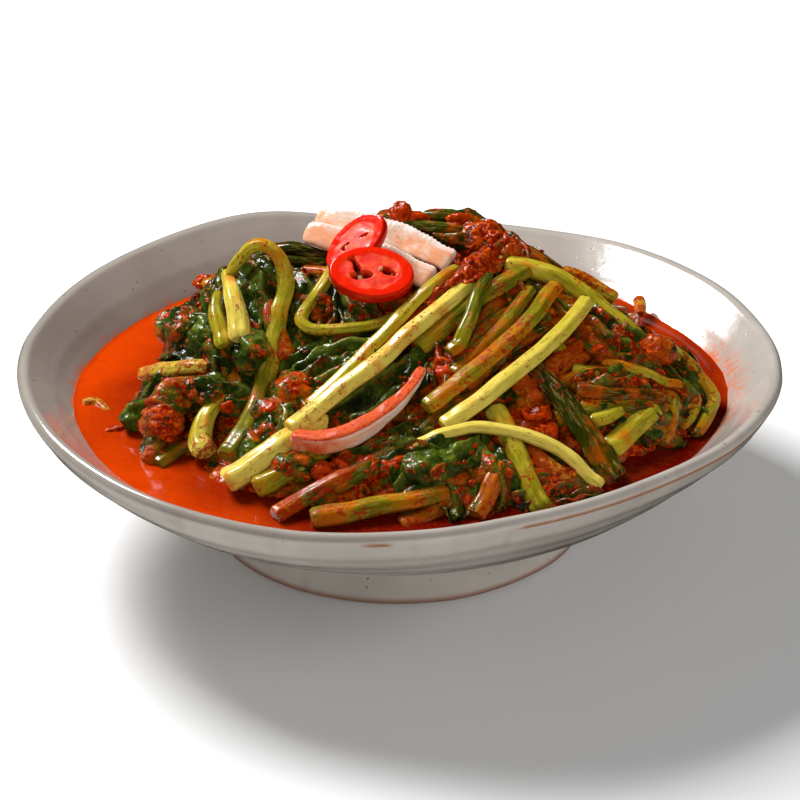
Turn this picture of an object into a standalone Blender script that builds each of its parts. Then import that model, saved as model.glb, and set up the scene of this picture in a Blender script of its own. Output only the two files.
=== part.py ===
"""Kimchi of young radish greens, heaped in a footed stoneware bowl with its brine.

Frame: +Z up, X along the bowl's longer side, Y from the front of the bowl to its back. The origin is the
middle of the bowl's footprint on the table. Blender's units are metres; MM turns millimetres into metres.
"""

import math

import bmesh
import bpy
from mathutils import Euler, Matrix, Vector

MM = 0.001
TURN_STEPS = 60  # facets round the bowl
GAP = 0.35 * MM  # clearance between pieces that touch

# The bowl, as it comes off the wheel: one outline of radius and height, before it is pulled oval.
WHEEL_RADIUS = 118.0
INNER_WALL = (
    (30.0, 22.2), (52.0, 23.8), (70.0, 28.0), (86.0, 35.0), (97.0, 41.6), (104.0, 46.8), (110.0, 51.4),
    (113.6, 54.4),
)
LIP = ((115.0, 55.6), (116.8, 55.6), (118.0, 54.4), (118.0, 52.6))
OUTER_WALL = ((114.2, 46.6), (106.2, 39.8), (93.0, 30.6), (79.0, 22.6), (67.6, 16.8), (60.8, 13.8))
FOOT = ((59.2, 11.8), (59.6, 6.0), (61.2, 1.4), (60.4, 0.0), (52.0, 0.0), (51.0, 1.0), (49.2, 9.0), (45.4, 11.6))
FLOOR_TOP = 22.0
FLOOR_UNDER = 12.0
FOOT_RADIUS = 60.8
FOOT_SHIFT = -1.5  # the foot sits a little off the middle of the rim
FOOT_SQUASH = 0.94  # and it is a little shorter from front to back

# The potter's hands: the rim drawn to an oval, with a lift and a push at each place round it.
RIM_HALF_LENGTH = 118.6
RIM_HALF_DEPTH = 107.6
RIM_PULLS = (  # angle from +X in degrees, push outwards and lift in millimetres
    (0, -0.8, 1.8), (22, 0.2, 3.0), (45, 1.6, 2.2), (70, 2.2, 0.6), (98, 4.8, 0.6), (120, 4.0, 6.8),
    (145, 1.6, 5.8), (172, -0.4, 5.0), (200, 0.4, 3.4), (225, 0.8, 2.0), (250, -1.2, 0.2), (268, -0.9, 2.2),
    (286, -1.0, 5.0), (312, -3.0, 5.2), (338, -1.8, 3.8),
)
BACK_WALL_DRAW = 15.0  # how far the wall behind the heap leans in
FRONT_WALL_DRAW = -3.5
DRAW_RADIUS = 98.0
DRAW_SPREAD = 20.0

BRINE_LEVEL = 46.8

# The heap of greens: rounded lumps with their middle, half length, half depth and top.
HEAP_BASE = 36.0
LUMPS = {
    "middle": (14, 1, 86, 65, 76),
    "crest": (14, 22, 54, 36, 87),
    "shoulder": (20, 7, 58, 50, 83.5),
    "left_bundle": (-46, 4, 35, 46, 80),
    "left_toe": (-62, -16, 22, 34, 62),
    "right_bundle": (62, -9, 34, 42, 60),
    "front_apron": (2, -46, 74, 38, 59),
    "garnish_seat": (-10, 4, 26, 20, 83),
}
LUMP_BLEND = 4.0  # softness of the valleys between the lumps
HEAP_VOXEL = 2.3 * MM
HEAP_TRIANGLES = 3500

# The radish stems on top of the heap: a width, then points of x, y and the height of the stem's middle
# above the heap, in millimetres.
STEMS = {
    "long_bright": (7.5, ((-32, -58, 6), (-10, -41, 6), (12, -24, 5), (34, -6, 3), (42, 4, 1))),
    "long_pale": (6.5, ((-24, -44, 4), (-4, -26, 4), (17, -11, 4), (29, 0, 2))),
    "pale_butt": (9.0, ((-50, -67, 3), (-33, -61, 4), (-15, -51, 3))),
    "green_butt": (9.0, ((-43, -72, 2), (-28, -66, 2), (-12, -58, 1))),
    "sauced_low": (7.0, ((-36, -80, 1), (-16, -72, 2), (-4, -66, 2))),
    "front_olive": (8.0, ((-27, -83, 1), (-9, -80, 1), (14, -74, 3))),
    "front_dark": (6.5, ((19, -80, 1), (24, -72, 2), (28, -62, 2))),
    "down_right": (8.0, ((26, -48, 2), (33, -62, 2), (40, -78, 1))),
    "pale_curved": (6.0, ((2, -64, 2), (9, -62, 5), (20, -59, 6), (34, -57, 6), (48, -60, 4), (60, -66, 1))),
    "dark_thick": (8.5, ((41, -40, 3), (51, -50, 3), (62, -64, 1))),
    "pale_crossing": (8.0, ((15, -56, 4), (28, -46, 5), (41, -32, 5), (50, -19, 5), (58, -8, 4))),
    "fan_middle": (7.5, ((9, -50, 3), (30, -31, 4), (45, -14, 4), (50, -4, 3))),
    "fan_dark": (6.5, ((14, -41, 2), (32, -20, 2), (41, -8, 2))),
    "fan_upper": (7.0, ((6, -32, 1), (22, -16, 2), (38, -4, 3))),
    "ridge_right": (8.0, ((36, 4, 2), (49, 3, 4), (59, -2, 4), (66, -9, 4), (73, -18, 3), (78, -26, 1))),
    "behind_right": (7.0, ((50, 12, 0), (64, 8, 1))),
    "right_yellow": (5.0, ((60, -24, 2), (77, -27, 3), (90, -30, 2), (95, -38, 0))),
    "right_stub": (9.0, ((57, -54, 2), (69, -42, 2))),
    "right_thin": (5.5, ((74, -55, 1), (78, -38, 3))),
    "right_dark": (6.5, ((48, -40, 2), (77, -36, 3))),
    "arch": (
        8.0,
        ((-53, 4, -2), (-52, -1, 2), (-51, -2, 8), (-48, -2, 12), (-44, -2, 14), (-39, -3, 14), (-37, -5, 11),
         (-36, -10, 6), (-38, -16, 2), (-41, -31, 2), (-44, -43, 3), (-47, -52, 3), (-51, -60, 2)),
    ),
    "loop_knob": (8.0, ((-57, -2, 5), (-54, -12, 6), (-49, -31, 5))),
    "loop_inner": (7.0, ((-60, -8, 4), (-58, -18, 4), (-55, -30, 3))),
    "left_short": (7.0, ((-79, -17, 2), (-61, -27, 4))),
    "left_yellow": (8.5, ((-52, -44, 3), (-59, -51, 3), (-58, -60, 2))),
    "hook": (5.0, ((-20, 3, 1), (-25, -8, 3), (-29, -16, 3), (-27, -21, 3), (-20, -23, 3), (-11, -23, 3), (-3, -21, 2))),
    "back_dark": (6.5, ((-37, 15, 3), (-18, 14, 3))),
    "crest_leafy": (9.0, ((2, 22, 2), (22, 14, 3), (40, 6, 3))),
}
STEM_STEP = 4.0

# The onion slices: width, thickness, lean towards the front in degrees and points of x, y and z.
ONIONS = {
    "onion_slice_front": (
        8.5, 4.2, -40,
        ((-31, -62, 60), (-23, -64, 60.5), (-16, -63, 61.5), (-9, -59, 63.5), (-2, -53, 66.5), (3, -47, 69.5),
         (6, -41, 72)),
    ),
    "onion_slice_back": (10.0, 3.8, -52, ((-27, 25, 90), (-15, 19, 90.5), (0, 11, 89.5), (15, 0, 87))),
    "onion_slice_middle": (9.5, 3.8, -52, ((-30, 18, 88.5), (-18, 12, 87.5), (-4, 3, 86), (9, -6, 84))),
}

# The red chili slices: size beside the first, middle, and tilts about X, Y and Z in degrees.
CHILI_HALF_LENGTH = 13.0
CHILI_HALF_WIDTH = 9.8
CHILI_THICKNESS = 4.6
CHILI_BEVEL = 1.4
SEED_CHAMBER = (3.8, 1.85, 4.8)  # half length, half width and distance between the two chambers
CHILIS = {
    "chili_slice_front": (1.0, (-9, -11, 87.6), (20, 4, -8)),
    "chili_slice_back": (0.86, (-14.8, 1.9, 89.0), (40, -38, 34)),
}


def clear_scene():
    """Removes whatever objects the file starts with."""
    for thing in list(bpy.data.objects):
        bpy.data.objects.remove(thing)


def new_collection(name):
    """A collection under the scene."""
    made = bpy.data.collections.new(name)
    bpy.context.scene.collection.children.link(made)
    return made


def finish_material(name, color, roughness):
    """A plain Principled finish."""
    made = bpy.data.materials.new(name)
    made.use_nodes = True
    shader = made.node_tree.nodes["Principled BSDF"]
    shader.inputs["Base Color"].default_value = (*color, 1.0)
    shader.inputs["Roughness"].default_value = roughness
    return made


def mesh_object(name, mesh, collection):
    """An object for a mesh, linked to a collection."""
    made = bpy.data.objects.new(name, mesh)
    collection.objects.link(made)
    return made


def as_helper(thing):
    """Marks a cutter or guide, which isn't a piece of the dish."""
    thing.hide_render = True
    thing.display_type = "WIRE"
    return thing


def evaluated_mesh(thing):
    """A mesh of the object as its modifiers leave it, in world space."""
    bpy.context.view_layer.update()
    graph = bpy.context.evaluated_depsgraph_get()
    mesh = bpy.data.meshes.new_from_object(thing.evaluated_get(graph))
    mesh.transform(thing.matrix_world)
    return mesh


def catmull(before, start, end, after, share):
    """A point between start and end on a smooth curve through four values."""
    return 0.5 * (
        2 * start
        + (end - before) * share
        + (2 * before - 5 * start + 4 * end - after) * share**2
        + (3 * start - before - 3 * end + after) * share**3
    )


def rim_pull(angle):
    """(push, lift) of the rim in millimetres at an angle in radians, smooth all the way round."""
    turn = math.degrees(angle) % 360
    count = len(RIM_PULLS)
    index = max(i for i in range(count) if RIM_PULLS[i][0] <= turn)
    near = [RIM_PULLS[(index + step) % count] for step in (-1, 0, 1, 2)]
    span = (near[2][0] - near[1][0]) % 360
    share = (turn - near[1][0]) / span
    return [catmull(*(pull[part] for pull in near), share) for part in (1, 2)]


def oval_reach(angle):
    """Distance in millimetres from the axis to the rim's oval at an angle."""
    across = math.hypot(RIM_HALF_DEPTH * math.cos(angle), RIM_HALF_LENGTH * math.sin(angle))
    return RIM_HALF_LENGTH * RIM_HALF_DEPTH / across


def pulled(point):
    """Where a point of the round pot, in millimetres, goes when the pot is pulled to its oval."""
    radius = math.hypot(point.x, point.y)
    share = min(max((radius - FOOT_RADIUS) / (WHEEL_RADIUS - FOOT_RADIUS), 0.0), 1.0)
    share = share * share * (3 - 2 * share)
    angle = math.atan2(point.y, point.x)
    side = math.sin(angle)
    push, lift = rim_pull(angle)
    draw = (BACK_WALL_DRAW if side > 0 else FRONT_WALL_DRAW) * abs(side) * share
    draw *= math.exp(-(((radius - DRAW_RADIUS) / DRAW_SPREAD) ** 2))
    reach = radius + share * ((oval_reach(angle) + push) / WHEEL_RADIUS - 1) * radius - draw
    return Vector((
        reach * math.cos(angle) + FOOT_SHIFT * (1 - share),
        reach * side * (FOOT_SQUASH + (1 - FOOT_SQUASH) * share),
        point.z + lift * share**2.5,
    ))


def turned(name, outline, collection):
    """A pot turned from an outline of radius and height with the Screw modifier, then pulled oval."""
    mesh = bpy.data.meshes.new(name + "_outline")
    mesh.from_pydata([(r * MM, 0, z * MM) for r, z in outline], [(i, i + 1) for i in range(len(outline) - 1)], [])
    wheel = as_helper(mesh_object(name + "_wheel", mesh, collection))
    screw = wheel.modifiers.new("turn", "SCREW")
    screw.steps = screw.render_steps = TURN_STEPS
    screw.use_merge_vertices = True
    screw.merge_threshold = 0.01 * MM
    made = evaluated_mesh(wheel)
    for vertex in made.vertices:
        vertex.co = pulled(vertex.co / MM) * MM
    return made


def heap_height(x, y):
    """Height in millimetres of the heap's soft outline over a place on the table."""
    total = 0.0
    for middle_x, middle_y, half_x, half_y, top in LUMPS.values():
        inside = 1 - ((x - middle_x) / half_x) ** 2 - ((y - middle_y) / half_y) ** 2
        height = HEAP_BASE + math.sqrt(inside) * (top - HEAP_BASE) if inside > 0 else HEAP_BASE - 6
        total += math.exp(height / LUMP_BLEND)
    return LUMP_BLEND * math.log(total)


def smooth_route(points):
    """Points every STEM_STEP or so along a smooth line, in millimetres."""
    ends = [points[0], *points, points[-1]]
    route = []
    for before, start, end, after in zip(ends, ends[1:], ends[2:], ends[3:]):
        parts = max(2, round(math.dist(start[:2], end[:2]) / STEM_STEP))
        for part in range(parts):
            route.append([catmull(*values, part / parts) for values in zip(before, start, end, after)])
    return [Vector(place) for place in (*route, points[-1])]


def laid_route(points):
    """A smooth line laid over the heap: each point's third number is its height above the heap."""
    return [Vector((x, y, heap_height(x, y) + up)) for x, y, up in smooth_route(points)]


def tube(name, route, half_width, collection, sides=2):
    """A round stem along a route, as a mesh with welded ends."""
    data = bpy.data.curves.new(name, "CURVE")
    data.dimensions = "3D"
    data.bevel_depth = half_width * MM
    data.bevel_resolution = sides
    data.use_fill_caps = True
    spline = data.splines.new("POLY")
    spline.points.add(len(route) - 1)
    for point, place in zip(spline.points, route):
        point.co = (*(place * MM), 1.0)
    guide = mesh_object(name, data, collection)
    mesh = evaluated_mesh(guide)
    bpy.data.objects.remove(guide)
    return welded(mesh)


def welded(mesh):
    """The mesh with its doubled points merged."""
    work = bmesh.new()
    work.from_mesh(mesh)
    bmesh.ops.remove_doubles(work, verts=work.verts, dist=0.01 * MM)
    work.to_mesh(mesh)
    work.free()
    return mesh


def joined(name, meshes):
    """Several meshes as one."""
    work = bmesh.new()
    for mesh in meshes:
        work.from_mesh(mesh)
    made = bpy.data.meshes.new(name)
    work.to_mesh(made)
    work.free()
    return made


def boolean(thing, operation, other):
    """A Boolean modifier that joins or cuts with another object."""
    modifier = thing.modifiers.new(operation.lower() + "_" + other.name, "BOOLEAN")
    modifier.operation = operation
    modifier.object = other
    modifier.solver = "EXACT"


def grown(name, mesh, by, collection):
    """A cutter: a copy of a mesh with its skin moved out."""
    cutter = as_helper(mesh_object(name, mesh.copy(), collection))
    skin = cutter.modifiers.new("grow", "DISPLACE")
    skin.mid_level = 0.0
    skin.strength = by
    made = evaluated_mesh(cutter)
    cutter.modifiers.clear()
    cutter.data = made
    return cutter


def box_helper(name, low, high, collection):
    """A box between two corners in millimetres, for cutting."""
    bpy.ops.mesh.primitive_cube_add(size=1.0)
    box = bpy.context.object
    box.name = name
    size = Vector(high) - Vector(low)
    box.data.transform(Matrix.Translation((Vector(high) + Vector(low)) / 2 * MM) @ Matrix.Diagonal((*(size * MM), 1)))
    for owner in list(box.users_collection):
        owner.objects.unlink(box)
    collection.objects.link(box)
    return as_helper(box)


def bowl_mesh(collection):
    """The stoneware bowl with its foot ring, one piece."""
    outline = ((0.0, FLOOR_UNDER), *reversed(FOOT), *reversed(OUTER_WALL), *reversed(LIP), *reversed(INNER_WALL))
    outline = (*outline, (0.0, FLOOR_TOP))
    return turned("bowl", tuple(reversed(outline)), collection)


def hollow_mesh(name, lift, height, collection):
    """The room inside the bowl, a little clear of its wall, carried straight up to a height."""
    wall = tuple((radius, z + lift) for radius, z in INNER_WALL)
    side = wall[-1][0]
    outline = ((0.0, height), (side, height), *reversed(wall), (0.0, FLOOR_TOP + lift))
    return turned(name, outline, collection)


def ellipsoid(middle, half, collection):
    """A lump as a scaled sphere, in millimetres."""
    bpy.ops.mesh.primitive_uv_sphere_add(segments=40, ring_count=20, radius=1.0)
    ball = bpy.context.object
    ball.data.transform(Matrix.Translation(Vector(middle) * MM) @ Matrix.Diagonal((*(Vector(half) * MM), 1)))
    mesh = ball.data.copy()
    bpy.data.objects.remove(ball)
    return mesh


def heap_mesh(collection):
    """The lumps and the stems grown together into one uneven heap."""
    pieces = [
        ellipsoid((x, y, HEAP_BASE), (half_x, half_y, top - HEAP_BASE), collection)
        for x, y, half_x, half_y, top in LUMPS.values()
    ]
    for name, (width, points) in STEMS.items():
        pieces.append(tube(name, laid_route(points), width / 2, collection))
    lump = as_helper(mesh_object("heap_lumps", joined("heap_lumps", pieces), collection))
    remesh = lump.modifiers.new("grow_together", "REMESH")
    remesh.mode = "VOXEL"
    remesh.voxel_size = HEAP_VOXEL
    soften = lump.modifiers.new("soften", "SMOOTH")
    soften.factor = 0.5
    soften.iterations = 2
    thin = lump.modifiers.new("thin", "DECIMATE")
    full = sum(len(face.vertices) - 2 for face in evaluated_mesh(lump).polygons)
    thin.ratio = min(1.0, HEAP_TRIANGLES / full)
    return evaluated_mesh(lump)


def onion_mesh(name, width, thickness, lean, points, collection):
    """A curved strip of onion: an oval section carried along a smooth line."""
    bpy.ops.curve.primitive_bezier_circle_add(radius=1.0)
    section = as_helper(bpy.context.object)
    section.name = name + "_section"
    section.data.resolution_u = 3
    section.scale = (thickness / 2 * MM, width / 2 * MM, 1)
    route = smooth_route(points)
    data = bpy.data.curves.new(name, "CURVE")
    data.dimensions = "3D"
    data.twist_mode = "Z_UP"
    data.bevel_mode = "OBJECT"
    data.bevel_object = section
    data.use_fill_caps = True
    spline = data.splines.new("POLY")
    spline.points.add(len(route) - 1)
    last = len(route) - 1
    for index, (point, place) in enumerate(zip(spline.points, route)):
        point.co = (*(place * MM), 1.0)
        point.tilt = math.radians(lean)
        point.radius = 0.72 + 0.28 * math.sin(math.pi * index / last)
    guide = mesh_object(name + "_guide", data, collection)
    mesh = evaluated_mesh(guide)
    bpy.data.objects.remove(guide)
    bpy.data.objects.remove(section)
    return welded(mesh)


def chili_mesh(name, place, collection):
    """A slanting slice of red chili with its two seed chambers."""
    share, middle, tilts = place
    bpy.ops.mesh.primitive_cylinder_add(vertices=28, radius=1.0, depth=1.0)
    ring = bpy.context.object
    ring.data.transform(Matrix.Diagonal((CHILI_HALF_LENGTH * MM, CHILI_HALF_WIDTH * MM, CHILI_THICKNESS * MM, 1)))
    edge = ring.modifiers.new("edge", "BEVEL")
    edge.width = CHILI_BEVEL * MM
    edge.segments = 2
    edge.limit_method = "ANGLE"
    half_length, half_width, apart = SEED_CHAMBER
    chambers = []
    for side in (-1, 1):
        bpy.ops.mesh.primitive_cylinder_add(vertices=16, radius=1.0, depth=1.0)
        chamber = as_helper(bpy.context.object)
        chamber.name = f"{name}_chamber_{side + 1}"
        size = Matrix.Diagonal((half_length * MM, half_width * MM, 3 * CHILI_THICKNESS * MM, 1))
        chamber.data.transform(Matrix.Translation((0.8 * side * MM, side * apart / 2 * MM, 0)) @ size)
        boolean(ring, "DIFFERENCE", chamber)
        chambers.append(chamber)
    mesh = evaluated_mesh(ring)
    for helper in (ring, *chambers):
        bpy.data.objects.remove(helper)
    turn = Euler([math.radians(tilt) for tilt in tilts]).to_matrix().to_4x4()
    mesh.transform(Matrix.Translation(Vector(middle) * MM) @ turn @ Matrix.Scale(share, 4))
    return mesh


def add_piece(name, mesh, material, collection):
    """A piece of the dish: a named object with its finish."""
    piece = mesh_object(name, mesh, collection)
    piece.data.materials.clear()
    piece.data.materials.append(material)
    piece.data.shade_smooth()
    piece.data.set_sharp_from_angle(angle=math.radians(40))
    return piece


def main():
    clear_scene()
    dish = new_collection("kimchi_in_bowl")
    helpers = new_collection("cutters")
    stoneware = finish_material("stoneware_glaze", (0.52, 0.48, 0.44), 0.22)
    brine_red = finish_material("chili_brine", (0.62, 0.07, 0.01), 0.12)
    greens = finish_material("radish_greens", (0.16, 0.20, 0.04), 0.3)
    onion_white = finish_material("onion", (0.80, 0.55, 0.38), 0.25)
    chili_red = finish_material("red_chili", (0.75, 0.03, 0.01), 0.2)

    add_piece("bowl", bowl_mesh(helpers), stoneware, dish)

    toppings = {}
    for name, shape in ONIONS.items():
        toppings[name] = add_piece(name, onion_mesh(name, *shape, helpers), onion_white, dish)
    for name, place in CHILIS.items():
        toppings[name] = add_piece(name, chili_mesh(name, place, helpers), chili_red, dish)

    room = as_helper(mesh_object("heap_room", hollow_mesh("heap_room", 1.2, 150.0, helpers), helpers))
    heap = add_piece("greens_heap", heap_mesh(helpers), greens, dish)
    boolean(heap, "INTERSECT", room)
    for name, topping in toppings.items():
        boolean(heap, "DIFFERENCE", grown(name + "_bed", topping.data, GAP, helpers))
    heap.data = evaluated_mesh(heap)
    heap.modifiers.clear()

    brine = add_piece("brine", hollow_mesh("brine", 0.5, 150.0, helpers), brine_red, dish)
    boolean(brine, "DIFFERENCE", box_helper("above_brine", (-200, -200, BRINE_LEVEL), (200, 200, 200), helpers))
    boolean(brine, "DIFFERENCE", grown("heap_bed", heap.data, GAP, helpers))
    brine.data = evaluated_mesh(brine)
    brine.modifiers.clear()


main()
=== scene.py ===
# %% [markdown]
# # Kimchi of young radish greens in a footed bowl
# The real dish is a tangle of wet stems and wilted leaves, heaped in a shallow stoneware bowl that holds a
# little red brine. The measured model gives each piece's place and size, so the first step loads it.
# Everything is in metres; MM turns millimetres into metres, so the tables below can be read like a ruler.

# %% Load the measured model
import bisect
import math
import random

import bmesh
import bpy
from mathutils import Euler, Matrix, Vector, noise
from mathutils.bvhtree import BVHTree


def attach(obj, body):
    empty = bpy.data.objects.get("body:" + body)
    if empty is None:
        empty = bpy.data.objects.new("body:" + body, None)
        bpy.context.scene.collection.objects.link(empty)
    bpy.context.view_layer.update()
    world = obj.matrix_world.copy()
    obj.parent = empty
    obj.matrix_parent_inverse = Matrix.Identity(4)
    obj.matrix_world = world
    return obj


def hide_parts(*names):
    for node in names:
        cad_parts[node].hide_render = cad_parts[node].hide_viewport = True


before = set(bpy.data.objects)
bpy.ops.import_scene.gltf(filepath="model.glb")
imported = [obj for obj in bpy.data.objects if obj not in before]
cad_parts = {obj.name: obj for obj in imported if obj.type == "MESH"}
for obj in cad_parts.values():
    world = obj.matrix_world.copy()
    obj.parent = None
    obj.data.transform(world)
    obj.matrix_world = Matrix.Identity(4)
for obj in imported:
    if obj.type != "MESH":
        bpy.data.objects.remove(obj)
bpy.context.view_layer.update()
MM = 0.001
print("nodes:", sorted(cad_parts))

# %% [markdown]
# ## Wiring materials like arithmetic
# Every finish here is made of nodes. Wiring them one by one hides the idea behind the plumbing, so a small
# class wraps a socket and lets ordinary arithmetic add the Math nodes. Colours don't go through Math nodes,
# which would turn them grey: they are blended with Mix nodes by a helper.


# %% A value that adds nodes when it is used in arithmetic
class Value:
    """One output socket of a node, which can be added, multiplied and compared."""

    def __init__(self, wiring, socket):
        self.wiring, self.socket = wiring, socket

    def math(self, operation, *values):
        return self.wiring.node("ShaderNodeMath", {"operation": operation}, dict(enumerate(values)))

    def twin(self, output):
        """Another output of the same node."""
        return Value(self.wiring, self.socket.node.outputs[output])

    def __add__(self, other):
        return self.math("ADD", self, other)

    def __sub__(self, other):
        return self.math("SUBTRACT", self, other)

    def __rsub__(self, other):
        return self.math("SUBTRACT", other, self)

    def __mul__(self, other):
        return self.math("MULTIPLY", self, other)

    def __truediv__(self, other):
        return self.math("DIVIDE", self, other)

    def __pow__(self, other):
        return self.math("POWER", self, other)

    def most(self, other):
        return self.math("MAXIMUM", self, other)

    def least(self, other):
        return self.math("MINIMUM", self, other)

    def rise(self, low, high):
        """0 below low, 1 above high and a smooth slope between; a falling slope when low is above high."""
        if low > high:
            return 1.0 - self.rise(high, low)
        settings = {"interpolation_type": "SMOOTHSTEP"}
        return self.wiring.node("ShaderNodeMapRange", settings, {0: self, 1: low, 2: high})

    __radd__, __rmul__ = __add__, __mul__


# %% One method that adds any node
class Wiring:
    """A tree of nodes, for a material or for geometry."""

    def node(self, kind, settings, inputs, output=0):
        """Adds a node: its settings first, then the values or links of its sockets."""
        made = self.tree.nodes.new(kind)
        for name, value in settings.items():
            if name == "stops":
                while len(made.color_ramp.elements) < len(value):
                    made.color_ramp.elements.new(0.5)
                for stop, (place, color) in zip(made.color_ramp.elements, value):
                    stop.position, stop.color = place, (*color, 1.0)
            else:
                setattr(made, name, value)
        for socket, value in inputs.items():
            if isinstance(value, Value):
                self.tree.links.new(value.socket, made.inputs[socket])
            else:
                made.inputs[socket].default_value = value
        return Value(self, made.outputs[output])


# %% A finish: one material and the nodes that feed it
class Finish(Wiring):
    """A material whose colour, gloss and relief come from nodes."""

    def __init__(self, name, **constants):
        self.material = bpy.data.materials.new(name)
        self.material.use_nodes = True
        self.tree = self.material.node_tree
        self.shader = self.tree.nodes["Principled BSDF"]
        for socket, value in constants.items():
            self.shader.inputs[socket.replace("_", " ")].default_value = value
        self.place = self.node("ShaderNodeTexCoord", {}, {}, "Object")
        self.height = self.node("ShaderNodeSeparateXYZ", {}, {0: self.place}, "Z") * 1000.0

    def noise(self, size, detail=2.0, rough=0.5, place=None, **settings):
        """Noise whose blobs are about so many millimetres across."""
        inputs = {"Vector": place or self.place, "Scale": 1000.0 / size, "Detail": detail, "Roughness": rough}
        return self.node("ShaderNodeTexNoise", settings, inputs)

    def cells(self, size, output="Distance", place=None, **settings):
        inputs = {"Vector": place or self.place, "Scale": 1000.0 / size}
        return self.node("ShaderNodeTexVoronoi", settings, inputs, output)

    def blend(self, share, first, second):
        """The first colour where share is 0 and the second where it is 1."""
        colors = {}
        for socket, color in ((6, first), (7, second)):
            colors[socket] = color if isinstance(color, Value) else (*color, 1.0)
        return self.node("ShaderNodeMix", {"data_type": "RGBA"}, {0: share, **colors}, 2)

    def part(self, name, output="Fac"):
        """A number or vector that the mesh carries."""
        return self.node("ShaderNodeAttribute", {"attribute_name": name}, {}, output)

    def stretched(self, vector, scale):
        """A place measured with other lengths along each axis."""
        return self.node("ShaderNodeVectorMath", {"operation": "MULTIPLY"}, {0: vector, 1: scale})

    def bump(self, height, depth_mm, strength=1.0):
        """Small relief: a height from 0 to 1 over a depth in millimetres."""
        return self.node("ShaderNodeBump", {}, {"Height": height, "Distance": depth_mm * MM, "Strength": strength})

    def finish(self, **links):
        for socket, value in links.items():
            self.tree.links.new(value.socket, self.shader.inputs[socket.replace("_", " ")])
        return self.material


def srgb(red, green, blue):
    """A colour as a swatch book gives it, 0 to 255, turned to the linear light that shaders use."""
    return tuple(((part / 255 + 0.055) / 1.055) ** 2.4 for part in (red, green, blue))


print("wiring helpers ready")

# %% [markdown]
# ## The shape that everything lies on
# The heap is a few rounded lumps that run into each other. A soft maximum of their heights gives one smooth
# hill, and every stem, leaf and slice is laid on it by a place on the table and a height above the hill.

# %% The hill of greens
HEAP_BASE = 36.0
BRINE_LEVEL = 46.8
LOWEST = 44.0
LUMPS = {  # middle, half length, half depth and top in millimetres
    "middle": (14, 1, 86, 65, 76),
    "crest": (14, 22, 49, 36, 87),
    "shoulder": (20, 7, 58, 50, 83.5),
    "left_bundle": (-44, 4, 32, 44, 80),
    "left_toe": (-62, -16, 22, 34, 62),
    "right_bundle": (62, -9, 34, 42, 60),
    "front_apron": (2, -46, 74, 38, 59),
    "garnish_seat": (-10, 4, 26, 20, 83),
}


def heap_height(x, y):
    """Height of the hill over a place on the table."""
    total = 0.0
    for middle_x, middle_y, half_x, half_y, top in LUMPS.values():
        inside = 1 - ((x - middle_x) / half_x) ** 2 - ((y - middle_y) / half_y) ** 2
        height = HEAP_BASE + math.sqrt(inside) * (top - HEAP_BASE) if inside > 0 else HEAP_BASE - 6
        total += math.exp(height / 4.0)
    return 4.0 * math.log(total)


def sunken(x, y):
    """How much lower the bed is at the back on the right, where brine shows between the greens and the wall."""
    return 10.0 * math.exp(-((x - 80) ** 2 + (y - 20) ** 2) / 26.0**2)


def ground(x, y):
    """Height of whatever a stem or leaf lies on: the hill, or the brine round it."""
    return max(heap_height(x, y), BRINE_LEVEL)


print("the hill is", round(heap_height(14, 20), 1), "mm high at its crest")


# %% Smooth lines through a few points
def between(before, start, end, after, share):
    """A value on the smooth curve through four values, a share of the way from the second to the third."""
    return 0.5 * (
        2 * start
        + (end - before) * share
        + (2 * before - 5 * start + 4 * end - after) * share**2
        + (3 * start - before - 3 * end + after) * share**3
    )


def smooth_route(points, step):
    """Points about a step apart on a smooth line through a few points of any number of values."""
    ends = [points[0], *points, points[-1]]
    route = []
    for near in zip(ends, ends[1:], ends[2:], ends[3:]):
        parts = max(2, round(math.dist(near[1][:2], near[2][:2]) / step))
        for part in range(parts):
            route.append([between(*values, part / parts) for values in zip(*near)])
    route.append(list(points[-1]))
    return route


def laid_route(points, step):
    """A smooth line laid over the hill: each point's third number is its height above the hill."""
    return [Vector((x, y, max(ground(x, y) + up, LOWEST))) for x, y, up in smooth_route(points, step)]


def stiffened(line, reach):
    """The line with its heights averaged over so many points on each side, as a stem spans small hollows."""
    heights = [place.z for place in line]
    for index, place in enumerate(line):
        near = heights[max(index - reach, 0): index + reach + 1]
        place.z = sum(near) / len(near)
    return line


def wavy(point, size, seed=0.0):
    """A smooth random direction that changes over a distance."""
    return noise.noise_vector(point / size + Vector((seed, 7.3 * seed, -3.1 * seed)))


print("a stem of 60 mm gets", len(laid_route([(0, 0, 0), (60, 0, 0)], 1.5)), "points")

# %% [markdown]
# ## Turning finished shapes into pieces
# A piece of the dish rides on the model's one body and stands for a measured node.


# %% Helpers that make pieces
def piece(name, mesh, material, node):
    """A visible piece of the dish which stands for a measured node."""
    made = bpy.data.objects.new(name, mesh)
    bpy.context.scene.collection.objects.link(made)
    if material is not None:
        mesh.materials.clear()
        mesh.materials.append(material)
    mesh.shade_smooth()
    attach(made, "root")
    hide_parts(node)
    print(name, "has", sum(len(face.vertices) - 2 for face in mesh.polygons), "triangles")
    return made


def mesh_of(name, points, faces, **values):
    """A mesh from points in millimetres, with numbers that its finish can read."""
    mesh = bpy.data.meshes.new(name)
    mesh.from_pydata([point * MM for point in points], [], faces)
    for value_name, numbers in values.items():
        store(mesh, value_name, numbers)
    return mesh


def store(mesh, name, numbers):
    """Keeps one number a vertex on the mesh."""
    mesh.attributes.new(name, "FLOAT", "POINT").data.foreach_set("value", numbers)


def as_seen(thing):
    """A mesh of the object as its modifiers leave it; the object itself goes."""
    bpy.context.view_layer.update()
    graph = bpy.context.evaluated_depsgraph_get()
    mesh = bpy.data.meshes.new_from_object(thing.evaluated_get(graph), depsgraph=graph)
    mesh.transform(thing.matrix_world)
    bpy.data.objects.remove(thing)
    return mesh


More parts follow.
